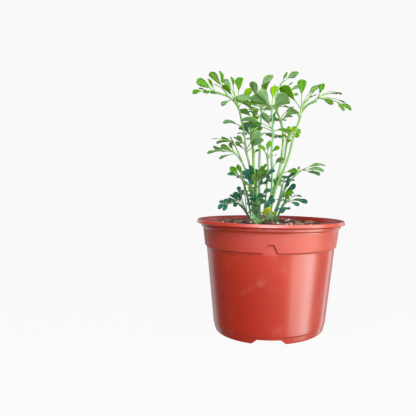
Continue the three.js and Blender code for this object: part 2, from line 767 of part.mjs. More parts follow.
function makeStem({ seed, path, radius, leaves, branches = [] }) {
  const [[x, y], ...rest] = path;
  const points = toPoints([[x, y, STEM_FOOT], [x, y, soilHeight(x, y)], ...rest]);
  let stem = leafyTube(points, radius, leaves, seed * 100);
  branches.forEach((branch, i) => {
    const twig = [pointAtHeight(points, branch.from), ...toPoints(branch.path)];
    stem = stem.add(leafyTube(twig, branch.radius, branch.leaves, seed * 100 + 50 + 10 * i));
  });
  return stem;
}

const rue = new THREE.Group();
rue.add(namedMesh("pot", makePot(), { color: "#c8462f", roughness: 0.32, metalness: 0 }));
rue.add(namedMesh("soil", makeSoil(), { color: "#4a2f26", roughness: 0.95, metalness: 0 }));
for (const [name, stem] of Object.entries(STEMS)) {
  rue.add(namedMesh(name, makeStem(stem), { color: stem.color, roughness: 0.55, metalness: 0 }));
}

export default rue;
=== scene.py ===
import json
import math

import bmesh
import bpy
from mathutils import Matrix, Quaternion, Vector, noise


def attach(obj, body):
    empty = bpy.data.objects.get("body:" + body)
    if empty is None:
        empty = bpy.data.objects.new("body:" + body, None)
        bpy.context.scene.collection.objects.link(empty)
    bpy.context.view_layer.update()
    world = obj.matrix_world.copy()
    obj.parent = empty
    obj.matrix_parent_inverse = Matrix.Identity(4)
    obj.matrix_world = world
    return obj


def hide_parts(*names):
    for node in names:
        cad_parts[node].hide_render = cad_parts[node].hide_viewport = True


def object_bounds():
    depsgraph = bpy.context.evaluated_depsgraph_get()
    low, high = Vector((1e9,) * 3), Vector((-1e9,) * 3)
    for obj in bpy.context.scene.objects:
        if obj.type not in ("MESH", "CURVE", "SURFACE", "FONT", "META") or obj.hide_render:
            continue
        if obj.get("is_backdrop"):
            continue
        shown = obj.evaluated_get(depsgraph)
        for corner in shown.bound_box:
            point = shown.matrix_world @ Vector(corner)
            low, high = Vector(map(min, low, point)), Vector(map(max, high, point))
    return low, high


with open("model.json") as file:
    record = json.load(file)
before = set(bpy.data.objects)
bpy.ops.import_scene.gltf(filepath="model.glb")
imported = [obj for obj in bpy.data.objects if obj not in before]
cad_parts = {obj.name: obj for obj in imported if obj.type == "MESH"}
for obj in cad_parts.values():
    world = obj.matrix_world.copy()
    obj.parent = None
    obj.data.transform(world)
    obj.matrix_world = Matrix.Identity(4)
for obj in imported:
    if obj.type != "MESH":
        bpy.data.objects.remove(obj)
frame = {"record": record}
cad_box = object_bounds()

MM = 0.001

# Pot. The lip leans in above its edge, by a share of the edge
POT_HEIGHT = 102.4
RIM_RADIUS = 70
LIP_HEIGHT = 3.5
LIP_EDGE = 0.9
LIP_LEAN = 0.7
LIP_INSIDE = 2.6
LIP_FOOT = POT_HEIGHT - LIP_HEIGHT
BAND_RADIUS = 66
BAND_HEIGHT = 3.4
BAND_EDGE = 0.7
BAND_FOOT = LIP_FOOT - BAND_HEIGHT
COLLAR_TOP_RADIUS = 64.4
COLLAR_FOOT_RADIUS = 62.3
COLLAR_EDGE = 0.4
STEP_HEIGHT = 77.9
WALL_TOP_RADIUS = 60.8
WALL_FOOT_RADIUS = 53.4
WALL_FOOT_HEIGHT = 6.5
FOOT_STEP = 0.6
FOOT_RADIUS = 51.7
FOOT_WIDTH = 1.8
WALL = 1.2
FLOOR_BELOW = 4.2
FLOOR_ABOVE = 5.4
INNER_STEP_HEIGHT = 87
INNER_STEP = 0.6
INNER_SLOPE = 1
DRAIN_RADIUS = 3
DRAIN_RING = 34
DRAIN_COUNT = 8
DRAIN_SIDES = 24

# A tab in the collar and a notch in the foot stand at each quarter turn
TAB_LOW = 11.5
TAB_HIGH = 5
TAB_HEIGHT = 7.2
TAB_ROUNDING = 0.7
NOTCH_LOW = 29.5
NOTCH_HIGH = 19.8
NOTCH_HEIGHT = 4

# Corners are rounded by this radius, over at most this share of the stretches beside them, and
# stretches are divided into pieces no longer than these, the shorter one at the tabs
CORNER_ROUNDING = 0.8
FOOT_ROUNDING = 0.3
ROUNDING_SHARE = 0.42
LONGEST_PIECE = 5
TAB_PIECE = 0.4

# Turns from one point of the pot's skin to the next: up to how far from a quarter turn, and how
# large (degrees)
TURNS = ((7, 0.35), (19, 0.8), (90, 2.4))

# Soil. The mound has broad lumps, and clods and grit on them: how close together and how high
SOIL_EDGE_HEIGHT = 95
MOUND_HEIGHT = 5
MOUND_RADIUS = 62
SOIL_CENTRE = (0, 4)
SOIL_RINGS = 74
SOIL_TURNS = 220
LUMP = 0.55
CLODS = (0.22, 0.5)
GRIT = (0.9, 0.3)
SUNK = 0.25
CLEARANCE = 0.3
STEM_FOOT = 85

# Grains on the soil: how far they are stretched, and how rough they are
GRAIN_STRETCH = (0.7, 1.3)
GRAIN_ROUGHNESS = 0.45

# Stems. They are thicker where a leaf leaves them, ribbed, and thin at the tip
STEM_SIDES = 12
STEM_PIECE = 2.5
STEM_WAIST = 0.96
STEM_TIP = 0.6
KNOT_REACH = 1.6
KNOT_SIZE = 0.22
RIBS = 4
RIB = 0.05

# Leaves. The stalk flares at its root, and the edge and the face of a blade have waves
WIDTH_SHARE = 0.47
STALK_RADIUS = 0.62
STALK_SIDES = 8
STALK_PIECE = 1.8
STALK_TAPER = 0.75
STALK_FLATNESS = 0.85
STALK_FLARE = 0.25
FLARE_REACH = 1.2
STALK_OVERLAP = 1.2
SAG = 0.007
SIDE_LEAFLET_SIZE = 0.9
VARY = {"width": 0.15, "place": 0.05, "length": 0.12, "spread": 0.06}
BLADE_THICKNESS = 0.34
BLADE_ROWS = 16
BLADE_COLUMNS = 8
LEAST_HALF_WIDTH = 0.22
EDGE_WAVES = 23
EDGE_WAVE = 0.03
FACE_WAVES = 9

# Each stem, branch and leaf draws from a seed of its own
FIRST_STEM = 11
SEEDS_PER_STEM = 100
FIRST_BRANCH_SEED = 50
SEEDS_PER_BRANCH = 10
BLADE_SEED = 50000

# Camera. The photograph is square, and its focal length is measured in its own pixels
PHOTO_SIZE = 416
FOCAL_LENGTH = 393
SENSOR_WIDTH = 36
CAMERA_PLACE = (0, -0.377, 0.1263)
CAMERA_TILT = 2
CAMERA_ROLL = 1.16
CAMERA_SHIFT = -0.1526

# Lights: name, place and size (metres), power (watts) and what is special. Some show only as
# highlights, and some only light the rest
POT_MIDDLE = (0, 0, 0.08)
WHITE = (1, 1, 1)
LIGHTS = [
    ("wide", (0.87, -0.48, 0.1), (0.9, 1.5), 6.3, {"mirrored": False}),
    ("band", (0.82, -0.45, 0.1), (0.84, 1.5), 18, {"lighting": False, "tint": (0.75, 1, 0.9)}),
    ("core", (0.83, -0.27, 0.1), (0.26, 1.5), 4, {"lighting": False, "tint": (0.4, 1, 0.96)}),
    ("edge", (0.76, 0.68, 0.1), (0.22, 1.5), 2, {}),
    ("left_edge", (-0.67, 0.74, 0.1), (0.5, 1.5), 1.6, {"lighting": False}),
    ("front", (0.42, -0.8, 0.16), (0.6, 0.3), 4.5, {"mirrored": False, "aim": (0, 0, 0.12)}),
    ("top", (-0.3, -0.55, 1.0), (0.7, 0.7), 4.5, {"aim": (0, 0, 0.15)}),
    ("strip", (0.05, -0.62, 0.8), (0.6, 0.1), 5, {"aim": (0, -0.05, 0.1)}),
    ("lip", (-0.03, -0.75, 0.36), (0.6, 0.16), 11, {
        "lighting": False, "aim": (0, 0, 0.1), "tint": (0.8, 0.95, 1.1),
    }),
    ("left_fill", (-0.75, -0.6, 0.25), (0.5, 0.5), 1.3, {"mirrored": False}),
]

# Kinds of leaf, by the number of their leaflets. Each row is one fork of the rachis: where it lies
# (share of the rachis), how many leaflets fork off to the right and to the left there, and how far
# they spread (degrees)
KINDS = {
    1: [],
    2: [(0.9, 1, 0, 36)],
    3: [(0.96, 1, 1, 38)],
    5: [(0.6, 1, 1, 68), (0.96, 1, 1, 36)],
}

# Tones of leaf: the colour of the upper face and of the underside
TONES = {
    "fresh": ("#4c8802", "#60921a"),
    "lime": ("#78a800", "#86ae04"),
    "pale": ("#6a9260", "#82a478"),
    "olive": ("#4a7420", "#6e9054"),
    "blue": ("#226a54", "#508672"),
    "deep": ("#0e5252", "#34726a"),
    "bloom": ("#769e84", "#86a890"),
    # A paler tone that stands in for light: painted light on leaves that the lamps leave in shade
    "silvery": ("#96bc8c", "#b0d0a0"),
    "yellow": ("#c6c010", "#b9c038"),
}

# The leafy stems. path: points up the stem, from where it stands in the soil. radius: at its foot
# and at its top. stalk: its colour there. A branch leaves its stem at the height "from".
# A leaf reads: the height where it leaves the stem, its tip, the number of its leaflets, their
# length, how far its stalk bows upwards, how far it banks about its own line (degrees), its tone
STEMS = {}
STEMS["left_stem"] = {
    "stalk": ("#90b777", "#6da239"), "radius": (1.3, 0.7),
    "path": [
        (-14, 1), (-15, 0, 105), (-18, 0, 117), (-20, -1, 138), (-22, -2, 155), (-25, -3, 166),
        (-27, -4, 182), (-30, -6, 196), (-33, -8, 207), (-38, -10, 213), (-44, -11, 216.5),
        (-51, -12, 218.5), (-57, -13, 219.5),
    ],
    "leaves": [
        (216.5, (-57, -20, 217), 1, 8, 0, 30, "olive"),
        (167.5, (-34, -7, 173), 1, 8, 0, 20, "olive"),
        (219.5, (-74, -17, 217), 1, 10, 1, -85, "fresh"),
        (219.5, (-70, -9, 223), 1, 8, 0, -30, "fresh"),
        (218.5, (-63, -24, 216), 1, 9, 0, -55, "olive"),
        (219, (-70, -15, 230), 1, 16, 0, -85, "fresh"),
        (219, (-61, -8, 232), 1, 12, 0, -10, "lime"),
        (213.5, (-48, -15, 207), 1, 10, 0, -85, "pale"),
        (209, (-49, 0, 235), 1, 15, 3, -45, "pale"),
        (209, (-41, 4, 238), 1, 13, 0, 25, "fresh"),
        (209, (-46, -16, 225), 1, 13, 1, 25, "fresh"),
        (207.5, (-33, 2, 238), 1, 17, 0, -10, "fresh"),
        (206.5, (-21, -13, 223), 1, 14, 0, -25, "lime"),
        (188, (-46, -13, 192), 1, 14, 2, 30, "pale"),
        (173, (-37, -6, 179), 3, 10.5, 0, 25, "pale"),
        (167.5, (-14, -13, 185), 1, 17, 0, -50, "pale"),
        (165.5, (-10, -13, 178), 1, 15, 0, -20, "pale"),
    ],
    "branches": [{
        "from": 214.5, "radius": (0.65, 0.55),
        "path": [(-44, -10, 218.5), (-47.5, -10, 224)],
        "leaves": [
            (223.5, (-58, -12, 238), 1, 16, 0, -70, "olive"),
            (223.5, (-50, -5, 240), 1, 14, 0, 30, "fresh"),
            (222.5, (-54, -17, 225), 1, 9, 0, -25, "fresh"),
        ],
    }],
}
STEMS["yellow_stem"] = {
    "stalk": ("#9cc81c", "#8cc20c"), "radius": (1.5, 1.0),
    "path": [
        (-11, 7), (-13, 6, 105), (-15, 6, 125), (-18, 7, 149), (-19, 8, 169), (-21, 9, 180),
        (-21, 10, 193), (-19, 10, 206),
    ],
    "leaves": [
        (205, (-37, -3, 217), 1, 19, 2, 20, "pale"),
        (204, (-30, 6, 217), 1, 15, 2, 15, "olive"),
        (200, (-31, -3, 207), 1, 16, 0, 20, "olive"),
        (196, (-16, -3, 206), 1, 13, 0, 5, "olive"),
        (190.5, (-15, 2, 201), 2, 12, 1, -10, "lime"),
        (186.5, (-27, -3, 194), 3, 13, 1, 25, "lime"),
        (184.5, (-13, -2, 194), 3, 12, 1, -25, "fresh"),
        (183.5, (-29, 0, 189), 1, 11, 1, 30, "deep"),
        (181.5, (-31, 38, 187), 3, 13, 4, 0, "pale"),
        (168, (-20, -4, 178), 1, 11, 0, -25, "olive"),
        (164, (-13, 2, 169), 1, 7.5, 1, -20, "fresh"),
    ],
}
STEMS["back_stem"] = {
    "stalk": ("#85b47f", "#7aaf7a"), "radius": (1.3, 1.0),
    "path": [
        (-9, 14), (-11, 14, 104), (-13, 18, 152), (-13, 20, 171), (-13, 22, 191), (-12, 24, 209),
    ],
    "leaves": [
        (205.5, (-2, 4, 241), 1, 24, 9, 10, "silvery"),
        (208.5, (-6, 13, 240), 1, 15, 0, 20, "fresh"),
        (208, (-22, 10, 236), 1, 17, 1, 20, "pale"),
        (203, (-11, 20, 237), 1, 10, 0, 45, "olive"),
        (207, (-16, 44, 223), 5, 15, 2, 0, "pale"),
        (202.5, (-30, 42, 212), 3, 15, 4, 0, "pale"),
        (205, (2, 48, 219), 3, 15, 4, 0, "fresh"),
        (175.5, (-20, 52, 184), 3, 15, 4, 0, "pale"),
        (182.5, (-3, 54, 190), 3, 14, 4, 0, "pale"),
        (143.5, (-14, 50, 150), 5, 14, 4, 0, "blue"),
    ],
}
STEMS["centre_stem"] = {
    "stalk": ("#90bc80", "#7eb57c"), "radius": (1.2, 0.85),
    "path": [
        (-4, -7), (-3, -8, 107), (-1, -9, 121), (0, -11, 141), (-1, -14, 165), (0, -16, 183),
        (-2, -20, 204),
    ],
    "leaves": [
        (203.5, (-12, -36, 216), 1, 20, 1, 40, "pale"),
        (203.5, (-33, -22, 213), 1, 19, 2, -50, "pale"),
        (203, (12, -31, 214), 1, 19, 1, -55, "pale"),
        (204, (1, -8, 227), 1, 16, 0, -10, "lime"),
        (203, (-20, -28, 212), 1, 20, 2, 30, "pale"),
        (203, (-24, -24, 207), 1, 14, 2, -45, "olive"),
        (203.5, (14, -12, 215), 1, 15, 0, 50, "lime"),
        (201.5, (14, -24, 210), 1, 16.5, 1, -20, "pale"),
        (184.5, (-10, -24, 199), 1, 15, 0, 15, "pale"),
        (185.5, (2, -15, 202), 1, 15, 0, -5, "pale"),
        (185.5, (-28, -28, 192), 1, 19, 2, 20, "pale"),
        (183.5, (15, -22, 183), 1, 14.5, 2, 45, "olive"),
        (183.5, (-26, -20, 188), 1, 17, 2, 20, "blue"),
        (149.5, (9, -19, 160), 1, 11, 1, -25, "olive"),
    ],
}
STEMS["inner_right_stem"] = {
    "stalk": ("#a6c46b", "#7aae47"), "radius": (1.7, 0.95),
    "path": [
        (-3, 2), (-2, 2, 108), (-1, 2, 116), (3, 3, 135), (7, 4, 150), (9, 5, 164), (10, 6, 179),
        (8, 8, 195), (2, 10, 210),
    ],
    "leaves": [
        (208, (0, 6, 232), 1, 12, 0, -25, "fresh"),
        (206, (-4, 37, 201), 3, 13, 3, 0, "pale"),
        (205.5, (6, 44, 220), 5, 15, 4, 0, "fresh"),
        (193.5, (4, 48, 205), 3, 15, 4, 0, "pale"),
        (178.5, (8, 42, 186), 3, 13, 4, 0, "pale"),
        (197.5, (23, -10, 205), 1, 20, 2, -25, "silvery"),
        (197.5, (17, -8, 200), 1, 11, 1, -30, "silvery"),
        (198.5, (20, 8, 212), 1, 11, 2, 25, "pale"),
        (145, (23, -8, 149), 1, 12, 1, 65, "olive"),
    ],
    "branches": [{
        "from": 206, "radius": (0.75, 0.55),
        "path": [(3, 6, 221), (6.5, 6, 233)],
        "leaves": [
            (232.5, (23, 9, 245), 1, 17, 1, -20, "pale"),
            (231.5, (13, 2, 243), 1, 11, 0, 5, "fresh"),
            (222, (18, -4, 232), 1, 8, 0, 10, "fresh"),
            (219, (26, 10, 233), 1, 16, 0, 30, "pale"),
            (220, (24, 8, 224), 1, 9, 0, 55, "pale"),
        ],
    }, {
        "from": 156.5, "radius": (0.9, 0.7),
        "path": [(10.5, 2, 157.5), (13, -2, 173.5), (14, -4, 180), (16.5, -6, 184.5)],
        "leaves": [
            (172.5, (16, -9, 178), 1, 7, 0, -10, "lime"),
            (181, (26, -6, 187), 1, 10, 0, 85, "lime"),
            (179.5, (25, -4, 183), 1, 9.5, 0, 85, "lime"),
            (179.5, (21, -8, 190), 2, 10, 0, -35, "lime"),
            (177, (10, -9, 183), 1, 7, 0, 0, "lime"),
            (179.5, (15, -12, 187), 1, 8, 0, 5, "lime"),
        ],
    }],
}
STEMS["right_stem"] = {
    "stalk": ("#9ec177", "#7fae5a"), "radius": (1.3, 0.9),
    "path": [
        (1, -4), (-1, -4, 104), (1, -3, 121), (5, -4, 136), (10, -6, 148), (15, -8, 162),
        (19, -10, 179), (22, -11, 189), (25, -12, 199), (26, -12, 209),
    ],
    "leaves": [
        (207, (40, -2, 221), 1, 13, 2, 5, "olive"),
        (205.5, (26, -8, 234), 1, 16, 0, 0, "fresh"),
        (205, (46, -5, 231), 1, 19.5, 4, 40, "pale"),
        (199.5, (40, -16, 224), 1, 15, 2, 15, "lime"),
        (204, (39, -18, 212), 1, 15, 1, 45, "pale"),
        (205, (6, -28, 222), 1, 21, 1, 25, "fresh"),
        (196, (22, 28, 212), 1, 14, 2, 30, "fresh"),
    ],
    "branches": [{
        "from": 201.5, "radius": (0.75, 0.6),
        "path": [(31, -12, 208.5), (36, -12, 212), (41.5, -12, 216.5)],
        "leaves": [
            (215.5, (68, 4, 216), 1, 9, 2, 10, "olive"),
            (215.5, (61, 10, 225), 1, 12, 2, 0, "fresh"),
            (216, (46, -9, 230), 1, 13, 0, 40, "fresh"),
            (216, (65, 4, 225), 1, 18, 3, 8, "pale"),
            (215.5, (54, -18, 209), 1, 12, 1, 70, "olive"),
            (216, (72, -12, 206), 2, 13, 2, 55, "olive"),
        ],
    }],
}
STEMS["thin_stem"] = {
    "stalk": ("#8bae46", "#7ea72a"), "radius": (0.9, 0.7),
    "path": [(-8, -14), (-7, -14, 108), (-5, -18, 130), (-4, -20, 152), (-5, -22, 162)],
    "leaves": [
        (161, (-3, -27, 174), 1, 12, 0, 30, "fresh"),
        (160.5, (-13, -24, 170), 2, 9, 1, -50, "fresh"),
        (159, (6, -24, 169), 1, 9, 1, 65, "fresh"),
        (158, (4, -30, 161), 1, 6, 1, 20, "lime"),
    ],
}
STEMS["left_leaf"] = {
    "stalk": ("#7aa674", "#7aa66c"), "radius": (1.1, 0.8),
    "path": [(-14, -8), (-15, -8, 108), (-20, -10, 134), (-24, -12, 146), (-28, -14, 156)],
    "leaves": [
        (156, (-39, -22, 177), 3, 12, 1, -30, "olive"),
    ],
    "branches": [{
        "from": 154, "radius": (0.75, 0.55),
        "path": [(-33.5, -16, 162.5), (-36, -18, 164.5)],
        "leaves": [
            (164, (-59, -22, 163), 1, 19, 1, 15, "pale"),
            (164, (-55, -12, 168), 1, 15, 1, 20, "pale"),
            (163, (-48, -24, 158), 1, 13, 0, 20, "pale"),
            (164, (-47, -16, 171), 1, 12, 0, -35, "olive"),
            (164, (-40, -12, 173), 1, 9, 0, -50, "olive"),
        ],
    }, {
        "from": 156, "radius": (0.7, 0.55),
        "path": [(-33.5, -12, 168), (-36.5, -13, 174)],
        "leaves": [
            (173.5, (-51, -20, 172), 1, 14, 1, 20, "olive"),
            (173.5, (-56, -16, 176), 1, 8, 1, -10, "olive"),
            (172.5, (-48, -6, 178), 1, 11, 1, 45, "pale"),
        ],
    }],
}
STEMS["right_leaf"] = {
    "stalk": ("#6b9b65", "#7ea96b"), "radius": (1.2, 0.8),
    "path": [(3, 7), (4, 8, 106), (12, 8, 130), (19, 9, 141), (26, 10, 148.5), (30, 10, 151)],
    "leaves": [
        (151, (52, 10, 156), 1, 20, 2, 25, "pale"),
        (151, (50, 4, 151), 1, 19, 1, 25, "pale"),
        (151, (47, 10, 146), 1, 15, 0, 30, "pale"),
        (147.5, (26, 8, 154), 1, 5, 0, -40, "olive"),
        (131.5, (23, 2, 148), 1, 14, 3, 50, "deep"),
        (126.5, (23, 2, 136), 1, 14, 0, 75, "deep"),
        (126.5, (17, 4, 143), 2, 11, 1, 50, "deep"),
        (123, (20, -2, 129), 1, 13, 2, 60, "fresh"),
        (123, (16, -8, 122), 1, 12, 3, 60, "olive"),
        (126.5, (6, -4, 143), 2, 11, 1, 40, "olive"),
    ],
}
STEMS["low_right_shoot"] = {
    "stalk": ("#5d8d5d", "#5f9568"), "radius": (1.1, 0.9),
    "path": [(5, -9), (7, -10, 108), (11, -12, 117), (15, -14, 121)],
    "leaves": [
        (121, (33, -18, 120), 1, 16, 1, 35, "deep"),
        (121, (28, -12, 125), 1, 10, 2, 15, "deep"),
        (120, (25, -20, 116), 1, 10, 1, 50, "deep"),
        (118, (10, -18, 128), 1, 9, 0, -60, "blue"),
        (115.5, (13, -22, 123), 1, 9, 0, 30, "deep"),
        (109.5, (10, -34, 111), 3, 11, 4, 10, "deep"),
    ],
}
STEMS["low_left_shoot"] = {
    "stalk": ("#5b8a63", "#518762"), "radius": (1.1, 0.9),
    "path": [(-19, -3), (-21, -4, 104), (-26, -6, 112), (-31, -9, 117)],
    "leaves": [
        (117, (-49, -18, 113), 3, 10, 2, -50, "deep"),
        (116, (-45, -10, 120), 3, 9, 1, -40, "deep"),
        (115.5, (-39, -12, 125), 5, 10, 1, -50, "deep"),
        (112.5, (-35, -6, 128), 3, 10, 1, -40, "blue"),
        (109, (-32, -6, 133), 3, 9, 0, -60, "deep"),
        (108, (-26, -13, 136), 1, 8, 0, -40, "olive"),
        (110, (-29, -22, 116), 2, 8, 1, -30, "deep"),
    ],
}
STEMS["mid_left_shoot"] = {
    "stalk": ("#689660", "#66975d"), "radius": (1, 0.8),
    "path": [(-19, 5), (-20, 4, 106), (-23, 0, 122), (-26, -3, 134), (-28, -4, 140)],
    "leaves": [
        (140, (-42, -8, 145), 1, 13, 1, -40, "blue"),
        (139, (-39, -6, 152), 1, 13, 0, -50, "fresh"),
        (138, (-33, -3, 154), 1, 12, 0, -30, "fresh"),
        (133.5, (-29, 24, 146), 3, 13, 3, 0, "blue"),
        (120, (-26, 30, 130), 3, 12, 3, 0, "deep"),
    ],
}
STEMS["front_shoot"] = {
    "stalk": ("#79a677", "#5f9568"), "radius": (1.3, 0.9),
    "path": [(-12, -14), (-13, -15, 106), (-15, -19, 122), (-14, -24, 138)],
    "leaves": [
        (137.5, (-19, -28, 152), 3, 13, 0, 0, "deep"),
        (137.5, (-27, -30, 146), 5, 12, 1, -50, "deep"),
        (137.5, (-5, -30, 153), 3, 13, 0, 60, "olive"),
        (137, (2, -41, 146), 5, 12, 1, 50, "deep"),
        (135, (-11, -36, 146), 3, 12, 0, 10, "olive"),
        (131.5, (0, -34, 138), 3, 11, 2, 30, "blue"),
        (129.5, (-25, -32, 135), 3, 10, 1, -40, "fresh"),
        (115, (-9, -33, 127), 3, 11, 1, 10, "deep"),
        (114, (3, -38, 120), 3, 12, 2, 50, "deep"),
        (109.5, (-21, -34, 118), 5, 10, 2, -50, "deep"),
        (125, (-14, -33, 133), 2, 12, 1, 25, "olive"),
        (117.5, (-2, -36, 131), 1, 12, 1, -25, "blue"),
        (113, (-15, -38, 123), 2, 10, 1, -15, "deep"),
        (122.5, (-19, -34, 127), 2, 11, 1, 25, "blue"),
        (108.5, (-7, -47, 122), 1, 14, 1, -25, "blue"),
        (107.5, (-12, -46, 118), 1, 14, 1, 0, "blue"),
        (107.5, (-18, -42, 113), 2, 12, 1, 30, "blue"),
    ],
}
STEMS["soil_leaf"] = {
    "stalk": ("#86ad84", "#86ad84"), "radius": (0.9, 0.8),
    "path": [(-9, -36), (-9, -37, 100.5), (-9, -39, 102.5)],
    "leaves": [
        (102, (2, -53, 109), 1, 14, 1, -70, "bloom"),
        (102, (-8, -50, 110), 1, 12, 1, -5, "bloom"),
        (102, (-18, -48, 107), 1, 12, 1, -85, "bloom"),
        (101.5, (-14, -50, 103), 1, 11, 1, -70, "pale"),
    ],
}
STEMS["yellow_leaf"] = {
    "stalk": ("#9cae52", "#afb942"), "radius": (0.9, 0.8),
    "path": [(1, -19), (1, -22, 101.5), (0, -29, 103.5)],
    "leaves": [
        (103, (-8, -42, 112), 1, 12, 1, 55, "yellow"),
        (103, (3, -40, 112), 1, 12, 1, -25, "yellow"),
        (103, (-3, -44, 115), 1, 12, 0, 20, "yellow"),
    ],
}
STEMS["rear_left_shoot"] = {
    "stalk": ("#689660", "#66975d"), "radius": (1.2, 0.9),
    "path": [(-17, 14), (-18, 16, 106), (-21, 24, 124), (-23, 30, 138)],
    "leaves": [
        (138, (-27, 48, 149), 5, 14, 3, 0, "blue"),
        (137, (-14, 54, 148), 5, 13, 3, 0, "blue"),
        (122, (-36, 38, 123), 3, 13, 4, 0, "blue"),
        (112, (-14, 46, 118), 3, 12, 4, 0, "blue"),
    ],
}
STEMS["rear_right_shoot"] = {
    "stalk": ("#689660", "#66975d"), "radius": (1.2, 0.9),
    "path": [(2, 15), (3, 17, 106), (8, 24, 122), (11, 30, 136)],
    "leaves": [
        (136, (18, 47, 147), 5, 14, 3, 0, "blue"),
        (134, (2, 54, 143), 5, 13, 3, 0, "blue"),
        (122, (20, 42, 126), 3, 13, 4, 0, "blue"),
        (112, (10, 50, 120), 3, 12, 4, 0, "blue"),
    ],
}


def make_draw(seed):
    """Seeded draws between 0 and 1"""
    modulus, spread, step = 2147483647, 7919, 48271
    state = (seed * spread) % modulus

    def draw():
        nonlocal state
        state = (state * step) % modulus
        return state / modulus

    return draw


def lerp(low, high, share):
    return low + (high - low) * share


def smoothstep(value):
    value = min(1, max(0, value))
    return value * value * (3 - 2 * value)


def around(loop):
    """Each item of a closed loop with the next one"""
    return zip(loop, loop[1:] + loop[:1])


def on_circle(radius, height, degrees):
    turn = math.radians(degrees)
    return (radius * math.cos(turn), radius * math.sin(turn), height)


def linear(code):
    """The linear colour of a code such as #6ea32c"""
    parts = [int(code[i:i + 2], 16) / 255 for i in (1, 3, 5)]
    return Vector([p / 12.92 if p < 0.04045 else ((p + 0.055) / 1.055) ** 2.4 for p in parts])


def rgba(code):
    return (*linear(code), 1)


class Piece:
    """The points and faces of one piece, and what is painted on its points"""

    def __init__(self):
        self.points = []
        self.faces = []
        self.tints = []
        self.marks = []

    def add(self, points, faces, tints=None, marks=None):
        first = len(self.points)
        self.points.extend(points)
        self.faces.extend([[first + i for i in face] for face in faces])
        self.tints.extend(tints or [WHITE] * len(points))
        self.marks.extend(marks or [(0, 0, 0)] * len(points))

    def add_rings(self, rings, tints=None, marks=None):
        """A closed skin through rings with the same count of points"""
        size = len(rings[0])
        last = (len(rings) - 1) * size
        faces = [list(range(size))[::-1], list(range(last, last + size))]
        for ring in range(0, last, size):
            faces += [[a, b, b + size, a + size] for a, b in around(list(range(ring, ring + size)))]
        self.add([p for ring in rings for p in ring], faces, tints, marks)


def paint(mesh, name, values):
    layer = mesh.color_attributes.new(name, "FLOAT_COLOR", "POINT")
    layer.data.foreach_set("color", [x for value in values for x in (*value, 1)])


def add_piece(name, piece, material, slot, node):
    mesh = bpy.data.meshes.new(name)
    mesh.from_pydata([Vector(p) * MM for p in piece.points], [], piece.faces)
    mesh.polygons.foreach_set("use_smooth", [True] * len(mesh.polygons))
    paint(mesh, "tint", piece.tints)
    paint(mesh, "marks", piece.marks)
    mesh.materials.append(material)
    obj = bpy.data.objects.new(name, mesh)
    bpy.context.scene.collection.objects.link(obj)
    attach(obj, "root")
    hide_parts(node)


# Materials


class Nodes:
    """The shader nodes of a material or of the world"""

    def __init__(self, owner):
        owner.use_nodes = True
        self.nodes = owner.node_tree.nodes
        self.links = owner.node_tree.links

    def put(self, socket, value):
        if isinstance(value, bpy.types.NodeSocket):
            self.links.new(value, socket)
        else:
            socket.default_value = value

    def node(self, kind, inputs=None, **settings):
        node = self.nodes.new(kind)
        for key, value in settings.items():
            setattr(node, key, value)
        for key, value in (inputs or {}).items():
            self.put(node.inputs[key], value)
        return node

    def math(self, operation, low, high=0):
        return self.node("ShaderNodeMath", {0: low, 1: high}, operation=operation).outputs[0]

    def vector(self, operation, low, high):
        return self.node("ShaderNodeVectorMath", {0: low, 1: high}, operation=operation).outputs

    def mix(self, share, low, high, blend="MIX"):
        inputs = {0: share, 6: low, 7: high}
        return self.node("ShaderNodeMix", inputs, data_type="RGBA", blend_type=blend).outputs[2]

    def ramp(self, value, low, high, to_low=0.0, to_high=1.0, shape="SMOOTHSTEP"):
        """A step of a value from low to high"""
        inputs = dict(enumerate((value, low, high, to_low, to_high)))
        return self.node("ShaderNodeMapRange", inputs, interpolation_type=shape).outputs[0]


class Look(Nodes):
    """A material and its nodes. A pattern's scale is how many of its patches make a metre"""

    def __init__(self, name, **sockets):
        self.material = bpy.data.materials.new(name)
        super().__init__(self.material)
        self.shader = self.nodes["Principled BSDF"]
        for socket, value in sockets.items():
            self.shader.inputs[socket.replace("_", " ")].default_value = value

    def place(self):
        return self.node("ShaderNodeTexCoord").outputs["Object"]

    def height(self):
        return self.node("ShaderNodeSeparateXYZ", {0: self.place()}).outputs[2]

    def noise(self, scale, detail=3.0, stretch=None):
        place = self.place()
        if stretch:
            place = self.vector("MULTIPLY", place, stretch)[0]
        inputs = {"Vector": place, "Scale": scale, "Detail": detail}
        return self.node("ShaderNodeTexNoise", inputs).outputs[0]

    def cells(self, scale):
        inputs = {"Vector": self.place(), "Scale": scale}
        return self.node("ShaderNodeTexVoronoi", inputs).outputs["Distance"]

    def painted(self, name):
        return self.node("ShaderNodeAttribute", attribute_name=name).outputs["Color"]

    def bump(self, height, strength, depth):
        """Relief of a depth in millimetres"""
        inputs = {"Height": height, "Strength": strength, "Distance": depth * MM}
        self.put(self.shader.inputs["Normal"], self.node("ShaderNodeBump", inputs).outputs[0])

    def finish(self, color, roughness):
        self.put(self.shader.inputs["Base Color"], color)
        self.put(self.shader.inputs["Roughness"], roughness)
        return self.material


